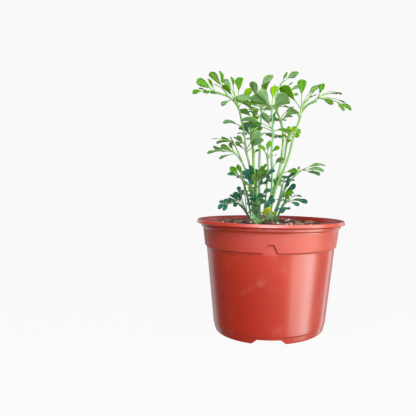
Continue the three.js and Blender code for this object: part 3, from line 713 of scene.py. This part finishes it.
def make_pot_look():
    """Glossy red plastic, painted paler towards the rim as painted sheen, dusty in places, painted
    darker inside as painted shade
    """
    look = Look("pot_plastic", Specular_IOR_Level=0.5, Coat_Weight=0.6, Coat_Roughness=0.25)
    cloud = look.noise(22, 4)
    grain = look.noise(900, 2)
    dust = look.ramp(look.noise(70, 6), 0.56, 0.75, 0, 0.16)
    red = look.mix(cloud, rgba("#a01a00"), rgba("#b02601"))
    # Painted sheen: the wall is painted paler towards the rim, in place of the haze of light reflected
    # on its upper part and on the collar
    painted_sheen = look.ramp(look.height(), 30 * MM, POT_HEIGHT * MM, 0, 0.3)
    red = look.mix(painted_sheen, red, rgba("#d04620"))
    # The inner side faces the pot's axis. It is painted darker there: painted shade inside the pot
    outward = look.vector("MULTIPLY", look.place(), (1, 1, 0))[0]
    normal = look.node("ShaderNodeNewGeometry").outputs["Normal"]
    facing = look.vector("DOT_PRODUCT", outward, normal)["Value"]
    red = look.mix(look.ramp(facing, -0.02, 0), rgba("#961404"), red)
    color = look.mix(dust, red, rgba("#b9705c"))
    rough = look.math("ADD", look.ramp(cloud, 0.2, 0.8, 0.38, 0.42), look.math("MULTIPLY", dust, 0.8))
    look.bump(grain, 0.1, 0.1)
    # The collar is duller than the wall
    below_band = look.ramp(look.height(), (BAND_FOOT - 2) * MM, (BAND_FOOT - 1) * MM, 1, 0)
    above_step = look.ramp(look.height(), (STEP_HEIGHT - 1.9) * MM, (STEP_HEIGHT + 0.1) * MM)
    collar = look.math("MULTIPLY", above_step, below_band)
    coat = look.math("ADD", 0.22, look.math("MULTIPLY", collar, 0.28))
    look.put(look.shader.inputs["Coat Roughness"], coat)
    return look.finish(color, look.math("ADD", rough, look.math("MULTIPLY", collar, 0.12)))


def make_soil_look():
    look = Look("potting_soil", Specular_IOR_Level=0.3)
    clod = look.noise(160, 6)
    speck = look.noise(900, 3)
    color = look.mix(look.ramp(clod, 0.35, 0.7), rgba("#1f130f"), rgba("#4a3024"))
    color = look.mix(look.ramp(speck, 0.62, 0.74), color, rgba("#8a6a4c"))
    look.bump(look.math("ADD", clod, look.math("MULTIPLY", speck, 0.4)), 0.8, 1)
    return look.finish(color, look.ramp(clod, 0.3, 0.8, 0.95, 0.75))


def make_grain_look(name, dark, pale, roughness, scale):
    """Grains in the soil: each one has its own tint"""
    look = Look(name, Specular_IOR_Level=0.3)
    grain = look.noise(scale, 5)
    own = look.painted("tint")
    color = look.mix(look.ramp(grain, 0.3, 0.7), rgba(dark), rgba(pale))
    color = look.mix(1.0, color, own, "MULTIPLY")
    look.bump(grain, 0.6, 0.5)
    return look.finish(color, roughness)


def make_leaf_look(name):
    """A soft leaf with a midrib, side veins, a paler rim, blotches and fine specks"""
    look = Look(name, Specular_IOR_Level=0.08, Subsurface_Weight=0.6, Subsurface_Scale=1.8 * MM)
    look.shader.inputs["Subsurface Radius"].default_value = (0.6, 1.0, 0.25)
    own = look.painted("tint")
    along, aside, upper = look.node("ShaderNodeSeparateColor", {0: look.painted("marks")}).outputs
    blotch = look.noise(240, 4)
    speck = look.ramp(look.cells(1500), 0.1, 0.35, 1, 0)
    color = look.mix(look.ramp(blotch, 0.3, 0.75, 0, 0.1), own, rgba("#37581f"))
    color = look.mix(look.ramp(blotch, 0.5, 0.8, 0, 0.08), color, rgba("#98c634"))
    rim = look.mix(look.ramp(aside, 0.5, 0.95, 0, 0.7), rgba("#ffffff"), rgba("#c4e478"))
    color = look.mix(1.0, color, rim, "MULTIPLY")
    midrib = look.ramp(aside, 0.04, 0.13, 1, 0)
    pairs, slant = 7.0, 1.6
    slanted = look.math("MULTIPLY", aside, slant)
    phase = look.math("SUBTRACT", look.math("MULTIPLY", along, pairs), slanted)
    wave = look.math("SINE", look.math("MULTIPLY", phase, math.tau))
    vein = look.math("MULTIPLY", look.ramp(wave, 0.86, 1), look.ramp(aside, 0.6, 0.95, 0.5, 0))
    veined = look.math("MULTIPLY", look.math("MAXIMUM", midrib, vein), 0.2)
    color = look.mix(veined, color, rgba("#a6cc38"))
    color = look.mix(look.math("MULTIPLY", speck, 0.06), color, rgba("#24401d"))
    rough = look.ramp(look.math("ADD", upper, look.math("MULTIPLY", blotch, 0.3)), 0, 1.2, 0.72, 0.5)
    height = look.math("SUBTRACT", look.math("MULTIPLY", blotch, 0.4), look.math("ADD", midrib, vein))
    look.bump(height, 0.25, 0.3)
    return look.finish(color, rough)


def make_stalk_look(name):
    """A streaked stalk, darker towards the soil"""
    look = Look(name, Specular_IOR_Level=0.4, Subsurface_Weight=0.12, Subsurface_Scale=MM)
    own = look.painted("tint")
    streak = look.noise(600, 3, (1, 1, 0.06))
    blotch = look.noise(90, 4)
    color = look.mix(look.ramp(streak, 0.35, 0.7, 0, 0.32), own, rgba("#4d7a3a"))
    color = look.mix(look.ramp(blotch, 0.5, 0.8, 0, 0.35), color, rgba("#b4d29c"))
    low = look.ramp(look.height(), SOIL_EDGE_HEIGHT * MM, 150 * MM, 0.55, 0)
    color = look.mix(low, color, rgba("#3d7434"))
    look.bump(streak, 0.4, 0.3)
    return look.finish(color, look.ramp(streak, 0.3, 0.7, 0.42, 0.6))


# Pot


def wall_radius(height):
    share = (height - WALL_FOOT_HEIGHT) / (STEP_HEIGHT - WALL_FOOT_HEIGHT)
    return lerp(WALL_FOOT_RADIUS, WALL_TOP_RADIUS, share)


def rounded(corners, radius, steps):
    """A profile with its inner corners rounded off and its long stretches divided"""
    points = [Vector(corners[0])]
    for before, corner, after in zip(corners, corners[1:], corners[2:]):
        corner = Vector(corner)
        back, ahead = Vector(before) - corner, Vector(after) - corner
        size = min(radius, ROUNDING_SHARE * back.length, ROUNDING_SHARE * ahead.length)
        start, end = corner + back.normalized() * size, corner + ahead.normalized() * size
        for i in range(steps + 1):
            share = i / steps
            points.append(start.lerp(corner, share).lerp(corner.lerp(end, share), share))
    points.append(Vector(corners[-1]))
    rows = []
    for low, high in zip(points, points[1:]):
        at_tab = STEP_HEIGHT - 1 < low.y < STEP_HEIGHT + TAB_HEIGHT
        count = max(1, math.ceil((high - low).length / (TAB_PIECE if at_tab else LONGEST_PIECE)))
        rows.extend(low.lerp(high, i / count) for i in range(count))
    return rows + [points[-1]]


def pot_angles():
    """Turns round the pot in degrees, closer together at the tabs and at the notches' slopes"""
    angles = []
    for side in (0, 90, 180, 270):
        turn = 0
        while turn < 90:
            angles.append(side + turn)
            away = min(turn, 90 - turn)
            turn = round(turn + next(size for reach, size in TURNS if away < reach), 4)
    return angles


def pot_point(radius, height, degrees, outer):
    """A point of the pot's skin, with the tabs and the notches worked in"""
    away = (degrees + 45) % 90 - 45
    arc = math.radians(away) * radius
    if outer and height > STEP_HEIGHT - 0.5:
        half = lerp(TAB_LOW, TAB_HIGH, (height - STEP_HEIGHT) / TAB_HEIGHT) / 2
        inside = smoothstep((half - abs(arc)) / TAB_ROUNDING + 0.5)
        under_top = smoothstep((STEP_HEIGHT + TAB_HEIGHT - height) / TAB_ROUNDING + 0.5)
        radius = lerp(radius, wall_radius(height), inside * under_top)
    roof = WALL_FOOT_HEIGHT if outer else FLOOR_BELOW
    if height < roof:
        slope = (NOTCH_LOW / 2 - abs(arc)) / (NOTCH_LOW - NOTCH_HIGH) * 2
        raised = NOTCH_HEIGHT * min(1, max(0, slope))
        lifted = lerp(raised, roof, height / roof)
        if outer:
            radius += (WALL_FOOT_RADIUS - FOOT_RADIUS) * (lifted - height) / roof
        height = lifted
    return on_circle(radius, height, degrees)


def add_floor(mesh, loop, height, up):
    """A flat floor inside a loop of points, with the drain holes left open; returns their edges"""
    rims = []
    edges = [mesh.edges.get(pair) or mesh.edges.new(pair) for pair in around(loop)]
    for i in range(DRAIN_COUNT):
        turn = (i + 0.5) / DRAIN_COUNT * math.tau
        middle = Vector((math.cos(turn), math.sin(turn))) * DRAIN_RING
        rim = []
        for k in range(DRAIN_SIDES):
            angle = k / DRAIN_SIDES * math.tau
            x = middle.x + DRAIN_RADIUS * math.cos(angle)
            y = middle.y + DRAIN_RADIUS * math.sin(angle)
            rim.append(mesh.verts.new((x, y, height)))
        edges += [mesh.edges.new(pair) for pair in around(rim)]
        rims.append(rim)
    filled = bmesh.ops.triangle_fill(mesh, use_beauty=True, edges=edges)
    for face in filled["geom"]:
        if isinstance(face, bmesh.types.BMFace):
            face.normal_update()
            if (face.normal.z > 0) != up:
                face.normal_flip()
    return rims


def join_loops(mesh, low, high):
    for (a, b), (c, d) in zip(around(low), around(high)):
        mesh.faces.new((a, b, d, c))


def make_pot():
    outside = rounded([
        (FOOT_RADIUS - FOOT_WIDTH / 2, 0),
        (FOOT_RADIUS, 0),
        (WALL_FOOT_RADIUS - FOOT_STEP, WALL_FOOT_HEIGHT - FOOT_STEP),
        (WALL_FOOT_RADIUS, WALL_FOOT_HEIGHT),
        (WALL_TOP_RADIUS, STEP_HEIGHT),
        (COLLAR_FOOT_RADIUS, STEP_HEIGHT + COLLAR_EDGE),
        (COLLAR_TOP_RADIUS, BAND_FOOT),
        (BAND_RADIUS, BAND_FOOT + COLLAR_EDGE),
        (BAND_RADIUS, LIP_FOOT - BAND_EDGE),
        (BAND_RADIUS - BAND_EDGE, LIP_FOOT),
        (RIM_RADIUS - LIP_EDGE, LIP_FOOT),
        (RIM_RADIUS, LIP_FOOT + LIP_EDGE),
        (RIM_RADIUS - LIP_EDGE * LIP_LEAN, POT_HEIGHT - LIP_EDGE),
        (RIM_RADIUS - LIP_EDGE, POT_HEIGHT),
        (RIM_RADIUS - LIP_INSIDE, POT_HEIGHT),
    ], CORNER_ROUNDING, 4)
    inside = rounded([
        (RIM_RADIUS - LIP_INSIDE, POT_HEIGHT),
        (BAND_RADIUS, LIP_FOOT),
        (COLLAR_TOP_RADIUS - WALL, BAND_FOOT),
        (COLLAR_FOOT_RADIUS - WALL + INNER_STEP, INNER_STEP_HEIGHT + INNER_SLOPE),
        (wall_radius(INNER_STEP_HEIGHT) - WALL, INNER_STEP_HEIGHT),
        (wall_radius(FLOOR_ABOVE) - WALL, FLOOR_ABOVE),
    ], CORNER_ROUNDING, 4)
    foot = rounded([
        (FOOT_RADIUS - FOOT_WIDTH, FLOOR_BELOW),
        (FOOT_RADIUS - FOOT_WIDTH, 0),
        (FOOT_RADIUS - FOOT_WIDTH / 2, 0),
    ], FOOT_ROUNDING, 3)
    angles = pot_angles()
    rings = [[pot_point(p.x, p.y, a, False) for a in angles] for p in foot[:-1]]
    rings += [[pot_point(p.x, p.y, a, True) for a in angles] for p in outside]
    rings += [[on_circle(p.x, p.y, a) for a in angles] for p in inside[1:]]
    mesh = bmesh.new()
    grid = [[mesh.verts.new(point) for point in ring] for ring in rings]
    for low, high in zip(grid, grid[1:]):
        join_loops(mesh, low, high)
    below = add_floor(mesh, grid[0], FLOOR_BELOW, False)
    above = add_floor(mesh, grid[-1], FLOOR_ABOVE, True)
    for low, high in zip(below, above):
        join_loops(mesh, high, low)
    bmesh.ops.recalc_face_normals(mesh, faces=mesh.faces)
    piece = Piece()
    piece.add(*points_and_faces(mesh))
    return piece


def points_and_faces(mesh):
    """What a mesh is made of; the mesh itself is freed"""
    mesh.verts.index_update()
    points = [vert.co.copy() for vert in mesh.verts]
    faces = [[vert.index for vert in face.verts] for face in mesh.faces]
    mesh.free()
    return points, faces


# Soil


def soil_height(x, y):
    """The mound with its broad lumps, as in the part's source"""
    away = math.hypot(x - SOIL_CENTRE[0], y - SOIL_CENTRE[1]) / MOUND_RADIUS
    mound = MOUND_HEIGHT * max(0, 1 - away * away)
    lumps = math.sin(x * 0.31 + 1) * math.cos(y * 0.27) + 0.6 * math.sin(x * 0.13 - y * 0.45)
    return SOIL_EDGE_HEIGHT + mound + LUMP * lumps


def fine_soil_height(x, y):
    """The height with clods and grit, which are drawn from two levels of one noise"""
    clods = noise.fractal(Vector((x, y, 0)) * CLODS[0], 1.0, 2.0, 4)
    grit = noise.fractal(Vector((x, y, 40)) * GRIT[0], 1.0, 2.0, 3)
    return soil_height(x, y) + CLODS[1] * clods + GRIT[1] * grit - SUNK


def make_soil():
    """A disc of soil with a rough surface, closed below"""
    top_radius = COLLAR_TOP_RADIUS - WALL - 2 * CLEARANCE
    step_radius = COLLAR_FOOT_RADIUS - WALL + INNER_STEP - CLEARANCE
    sides = [
        (wall_radius(FLOOR_ABOVE) - WALL - CLEARANCE, FLOOR_ABOVE + CLEARANCE),
        (wall_radius(INNER_STEP_HEIGHT) - WALL - CLEARANCE, INNER_STEP_HEIGHT + CLEARANCE),
        (step_radius, INNER_STEP_HEIGHT + INNER_SLOPE + 2 * CLEARANCE),
    ]
    turns = [k / SOIL_TURNS * 360 for k in range(SOIL_TURNS)]
    rings = [[on_circle(radius, height, turn) for turn in turns] for radius, height in sides]
    for i in range(SOIL_RINGS, 0, -1):
        radius = top_radius * i / SOIL_RINGS
        ring = []
        for k in range(SOIL_TURNS):
            angle = k / SOIL_TURNS * math.tau
            x, y = radius * math.cos(angle), radius * math.sin(angle)
            ring.append((x, y, fine_soil_height(x, y)))
        rings.append(ring)
    piece = Piece()
    piece.add_rings(rings)
    return piece


def make_grain(draw, radius, flat, detail):
    """A rough grain: the points and faces of a small ball, pushed in and out by draws"""
    mesh = bmesh.new()
    bmesh.ops.create_icosphere(mesh, subdivisions=detail, radius=1)
    corners, faces = points_and_faces(mesh)
    stretch = Vector((lerp(*GRAIN_STRETCH, draw()), lerp(*GRAIN_STRETCH, draw()), flat))
    turn = Quaternion(Vector((draw() - 0.5, draw() - 0.5, draw() - 0.5)).normalized(), draw() * math.tau)
    tilt = Quaternion((0, 0, 1), draw() * math.tau)
    points = []
    for corner in corners:
        rough = 1 + GRAIN_ROUGHNESS * (draw() - 0.5)
        local = turn @ corner
        points.append(tilt @ Vector([local[i] * stretch[i] * radius * rough for i in range(3)]))
    return points, faces


def strew(name, look, seed, count, radii, flat, detail, dark, edge, sink):
    """Grains strewn over the soil out to an edge, and sunk in it by a share of their height"""
    draw = make_draw(seed)
    piece = Piece()
    for _ in range(count):
        away = edge * math.sqrt(draw())
        angle = draw() * math.tau
        x, y = away * math.cos(angle), away * math.sin(angle)
        radius = lerp(*radii, draw() ** 2)
        points, faces = make_grain(draw, radius, flat, detail)
        base = Vector((x, y, fine_soil_height(x, y) + radius * flat * (1 - 2 * sink)))
        tint = lerp(Vector(dark), Vector(WHITE), draw())
        piece.add([base + p for p in points], faces, [tint] * len(points))
    add_piece(name, piece, look, "potting_soil", "soil")


# Stems and leaves


def square_to(along, wanted):
    """The direction square to along that is closest to wanted"""
    return (wanted - along * along.dot(wanted)).normalized()


def smooth_line(points):
    """Points on a smooth curve through the given ones"""
    ends = [points[0] * 2 - points[1]] + points + [points[-1] * 2 - points[-2]]
    line = []
    for before, low, high, after in zip(ends, ends[1:], ends[2:], ends[3:]):
        knots = [0.0]
        for a, b in ((before, low), (low, high), (high, after)):
            knots.append(knots[-1] + max(1e-3, (b - a).length ** 0.5))
        count = max(1, math.ceil((high - low).length / STEM_PIECE))
        for i in range(count):
            t = lerp(knots[1], knots[2], i / count)
            line.append(blend_points((before, low, high, after), knots, t))
    return line + [points[-1]]


def blend_points(points, knots, t):
    """A point on the centripetal curve through four points"""
    level = list(points)
    for span in (1, 2):
        level = [
            lerp(a, b, (t - knots[i]) / (knots[i + span] - knots[i]))
            for i, (a, b) in enumerate(zip(level, level[1:]))
        ]
    return lerp(level[0], level[1], (t - knots[1]) / (knots[2] - knots[1]))


def at_height(line, height):
    """The point at a height on a line that climbs all the way"""
    for low, high in zip(line, line[1:]):
        if high.z >= height:
            return low.lerp(high, (height - low.z) / (high.z - low.z))
    return line[-1].copy()


def add_stem(piece, line, radius, joints, colors):
    """A round stem along a line, thicker at each joint where a leaf leaves it"""
    rings, tints = [], []
    for k, point in enumerate(line):
        along = (line[min(k + 1, len(line) - 1)] - line[max(k - 1, 0)]).normalized()
        front = square_to(along, Vector((0, 1, 0)))
        side = along.cross(front)
        share = k / (len(line) - 1)
        knot = sum(math.exp(-((point - joint).length / KNOT_REACH) ** 2) for joint in joints)
        size = lerp(*radius, share) * (STEM_WAIST + KNOT_SIZE * min(1, knot))
        if k == len(line) - 1:
            size *= STEM_TIP
        ring = []
        for i in range(STEM_SIDES):
            turn = i / STEM_SIDES * math.tau
            rib = 1 + RIB * math.cos(turn * RIBS)
            ring.append(point + (front * math.cos(turn) + side * math.sin(turn)) * size * rib)
        rings.append(ring)
        tints += [lerp(*colors, share ** 0.8)] * STEM_SIDES
    piece.add_rings(rings, tints)


def plan_leaf(kind, size, reach, draw):
    """The leaflets of a leaf in its own plane, the end one last: where each starts on the leaf's
    line, how far it turns from it, its length and its width"""
    def vary(name):
        return 1 + VARY[name] * (2 * draw() - 1)

    stalk = reach - size
    end = (stalk, 0, size, size * WIDTH_SHARE * vary("width"))
    sides = []
    for share, right, left, degrees in KINDS[kind]:
        for side, count in ((-1, right), (1, left)):
            if count:
                start = stalk * share * (1 - VARY["place"] * draw())
                turn = math.radians(degrees * vary("spread")) * side
                length = size * SIDE_LEAFLET_SIZE * vary("length")
                sides.append((start, turn, length, length * WIDTH_SHARE * vary("width")))
    return sides + [end]


def blade_half_width(share):
    """The half-width of a leaflet at a share of its length: a spoon with a narrow root"""
    share = min(share, 0.996)
    widest = 0.908
    return math.sqrt(math.sin(math.pi * share ** 2)) * share ** 0.3 / widest


def add_blade(piece, leaflet, place, draw, colors):
    """A leaflet: a thin spoon-shaped blade, folded a little along its midrib and curved along it"""
    start, turn, length, width = leaflet
    half = width / 2
    fold = lerp(0.05, 0.3, draw())
    droop = lerp(-0.1, 0.03, draw())
    twist = lerp(-0.22, 0.22, draw())
    ripple = lerp(0.02, 0.09, draw())
    phase = draw() * math.tau
    bend = lerp(-0.05, 0.05, draw())
    tone = lerp(0.86, 1.12, draw())
    cos, sin = math.cos(turn), math.sin(turn)
    columns = [(-1 + 2 * k / BLADE_COLUMNS, 1) for k in range(BLADE_COLUMNS + 1)]
    columns += [(-c, -1) for c, _ in columns[1:-1]]
    rings, tints, marks = [], [], []
    for i in range(BLADE_ROWS + 1):
        share = math.sin(i / BLADE_ROWS * math.pi / 2) ** 0.92
        wavy = 1 + EDGE_WAVE * math.sin(share * EDGE_WAVES + phase)
        wide = max(LEAST_HALF_WIDTH, half * blade_half_width(share) * wavy)
        ring = []
        for c, face in columns:
            thick = BLADE_THICKNESS / 2 * math.sqrt(max(0, 1 - c ** 4)) * face
            lift = droop * length * share ** 2
            lift += fold * abs(c) * wide + twist * c * wide * share
            lift += ripple * half * math.sin(share * FACE_WAVES + phase + c) * abs(c) * 2
            x = share * length
            y = c * wide + bend * length * share ** 2
            ring.append(place(start + x * cos - y * sin, x * sin + y * cos, lift + thick))
            upper = (1 + face) / 2 if abs(c) < 1 else 0.5
            color = lerp(colors[1], colors[0], upper) * tone
            tints.append(lerp(color, color.lerp(linear("#98c634"), 0.5), 0.3 * (1 - share) ** 2))
            marks.append((share, abs(c), upper))
        rings.append(ring)
    piece.add_rings(rings, tints, marks)


def add_leaf_stalk(piece, length, place, color):
    """A leaf's stalk, in the leaf's own plane"""
    count = max(2, math.ceil(length / STALK_PIECE))
    rings = []
    for i in range(count + 1):
        x = length * i / count
        size = lerp(STALK_RADIUS, STALK_RADIUS * STALK_TAPER, i / count)
        size += STALK_FLARE * math.exp(-x / FLARE_REACH)
        ring = []
        for k in range(STALK_SIDES):
            angle = k / STALK_SIDES * math.tau
            ring.append(place(x, size * math.cos(angle), size * math.sin(angle) * STALK_FLATNESS))
        rings.append(ring)
    tints = [color] * (STALK_SIDES * len(rings))
    piece.add_rings(rings, tints, [(0, 0.5, 1)] * len(tints))


def add_leaf(piece, start, leaf, seed):
    _, tip, kind, size, bow, bank, tone = leaf
    chord = Vector(tip) - start
    reach = chord.length
    line = chord.normalized()
    up = square_to(line, Vector((0, 0, 1)))
    facing = Quaternion(line, math.radians(bank)) @ up
    across = facing.cross(line)

    def place(u, v, w):
        share = u / reach
        flat = start + line * u + across * v + facing * (w - SAG * v * v)
        return flat + up * (4 * bow * share * (1 - share))

    leaflets = plan_leaf(kind, size, reach, make_draw(seed))
    draw = make_draw(seed + BLADE_SEED)
    colors = [linear(code) * lerp(0.9, 1.1, draw()) for code in TONES[tone]]
    rachis = lerp(colors[0], linear("#b9d398"), 0.45)
    add_leaf_stalk(piece, reach - size + STALK_OVERLAP, place, rachis)
    for leaflet in leaflets:
        add_blade(piece, leaflet, place, draw, colors)


def add_leafy_stem(stalks, leaves, line, radius, rows, seed, colors):
    joints = [at_height(line, row[0]) for row in rows]
    add_stem(stalks, line, radius, joints, colors)
    for i, (start, row) in enumerate(zip(joints, rows)):
        add_leaf(leaves, start, row, seed + i)


def make_stem(name, stem, seed, leaf_look, stalk_look, slot):
    x, y = stem["path"][0]
    foot = [Vector((x, y, STEM_FOOT)), Vector((x, y, soil_height(x, y)))]
    line = smooth_line(foot + [Vector(p) for p in stem["path"][1:]])
    colors = [linear(code) for code in stem["stalk"]]
    stalks, leaves = Piece(), Piece()
    add_leafy_stem(stalks, leaves, line, stem["radius"], stem["leaves"], seed, colors)
    for i, branch in enumerate(stem.get("branches", [])):
        start = at_height(line, branch["from"])
        twig = smooth_line([start] + [Vector(p) for p in branch["path"]])
        own = seed + FIRST_BRANCH_SEED + SEEDS_PER_BRANCH * i
        upper = [colors[1]] * 2
        add_leafy_stem(stalks, leaves, twig, branch["radius"], branch["leaves"], own, upper)
    add_piece(name + "_stalk", stalks, stalk_look, slot, name)
    add_piece(name + "_leaves", leaves, leaf_look, slot, name)


# Stage


def add_area_light(name, place, size, power, mirrored=True, lighting=True, aim=POT_MIDDLE, tint=WHITE):
    data = bpy.data.lights.new(name, "AREA")
    data.shape = "RECTANGLE"
    data.size, data.size_y = size
    data.energy = power
    data.color = tint
    light = bpy.data.objects.new(name, data)
    light.location = place
    light.rotation_mode = "QUATERNION"
    light.rotation_quaternion = (Vector(aim) - Vector(place)).to_track_quat("-Z", "Y")
    light.visible_camera = False
    light.visible_glossy = mirrored
    light.visible_diffuse = lighting
    bpy.context.scene.collection.objects.link(light)


def make_floor():
    """A wide floor that glows evenly, so that it meets the backdrop without a line"""
    mesh = bpy.data.meshes.new("floor")
    side = 12
    corners = [(-side, -side, 0), (side, -side, 0), (side, side, 0), (-side, side, 0)]
    mesh.from_pydata(corners, [], [(0, 1, 2, 3)])
    floor = bpy.data.objects.new("floor", mesh)
    bpy.context.scene.collection.objects.link(floor)
    look = Look("pale_floor", Specular_IOR_Level=0.0, Emission_Strength=0.936)
    look.shader.inputs["Emission Color"].default_value = (*WHITE, 1)
    shade = look.mix(look.noise(3, 2), (0.019, 0.019, 0.019, 1), (0.021, 0.021, 0.021, 1))
    mesh.materials.append(look.finish(shade, 0.8))
    floor.visible_glossy = False
    floor.visible_diffuse = False
    floor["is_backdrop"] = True


def make_backdrop():
    """Pale to the camera; as a light it is dim, and brighter from the right"""
    world = bpy.data.worlds.new("studio")
    sky = Nodes(world)
    back = sky.nodes["Background"]
    back.inputs["Color"].default_value = (0.95, 0.95, 0.95, 1)
    seen = sky.node("ShaderNodeLightPath").outputs["Is Camera Ray"]
    direction = sky.node("ShaderNodeTexCoord").outputs["Generated"]
    side = sky.node("ShaderNodeSeparateXYZ", {0: direction}).outputs["X"]
    fill = sky.ramp(side, -0.8, 0.4, 0.14, 0.4, "LINEAR")
    sky.put(back.inputs["Strength"], sky.ramp(seen, 0, 1, fill, 1, "LINEAR"))
    bpy.context.scene.world = world
    bpy.context.scene.view_settings.view_transform = "Standard"


def make_camera():
    data = bpy.data.cameras.new("camera")
    data.sensor_width = SENSOR_WIDTH
    data.lens = SENSOR_WIDTH * FOCAL_LENGTH / PHOTO_SIZE
    data.shift_x = CAMERA_SHIFT
    camera = bpy.data.objects.new("camera", data)
    camera.location = CAMERA_PLACE
    camera.rotation_mode = "QUATERNION"
    level = Quaternion((1, 0, 0), math.radians(90 - CAMERA_TILT))
    camera.rotation_quaternion = level @ Quaternion((0, 0, 1), math.radians(CAMERA_ROLL))
    bpy.context.scene.collection.objects.link(camera)
    bpy.context.scene.camera = camera


make_camera()
make_floor()
make_backdrop()
for name, place, size, power, special in LIGHTS:
    add_area_light(name, place, size, power, **special)

add_piece("nursery_pot", make_pot(), make_pot_look(), "pot_plastic", "pot")
add_piece("soil_bed", make_soil(), make_soil_look(), "potting_soil", "soil")
crumb_look = make_grain_look("soil_crumb", "#2a1a13", "#5b3c2c", 0.9, 500)
bark_look = make_grain_look("bark", "#4a2c1e", "#a87c58", 0.8, 400)
perlite_look = make_grain_look("perlite", "#b9b4b6", "#f4f1f0", 0.85, 700)
brown, grey = (0.55, 0.5, 0.48), (0.62, 0.62, 0.74)
strew("soil_crumbs", crumb_look, 301, 2400, (0.6, 2.4), 0.75, 1, brown, 60.5, 0.35)
strew("bark_chips", bark_look, 302, 210, (1.6, 5.2), 0.4, 2, brown, 59, 0.15)
strew("perlite_grains", perlite_look, 303, 190, (0.6, 2.1), 0.85, 2, grey, 59, 0.2)

slots = {part["node"]: part["material_slot"] for part in frame["record"]["subparts"]}
looks = {}
for number, (name, stem) in enumerate(STEMS.items(), FIRST_STEM):
    slot = slots[name]
    if slot not in looks:
        looks[slot] = (make_leaf_look(slot + "_leaf"), make_stalk_look(slot + "_stalk"))
    make_stem(name, stem, number * SEEDS_PER_STEM, *looks[slot], slot)

bpy.context.view_layer.update()
boxes = {"cad": cad_box, "visual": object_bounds()}
{key: [list(corner) for corner in box] for key, box in boxes.items()}
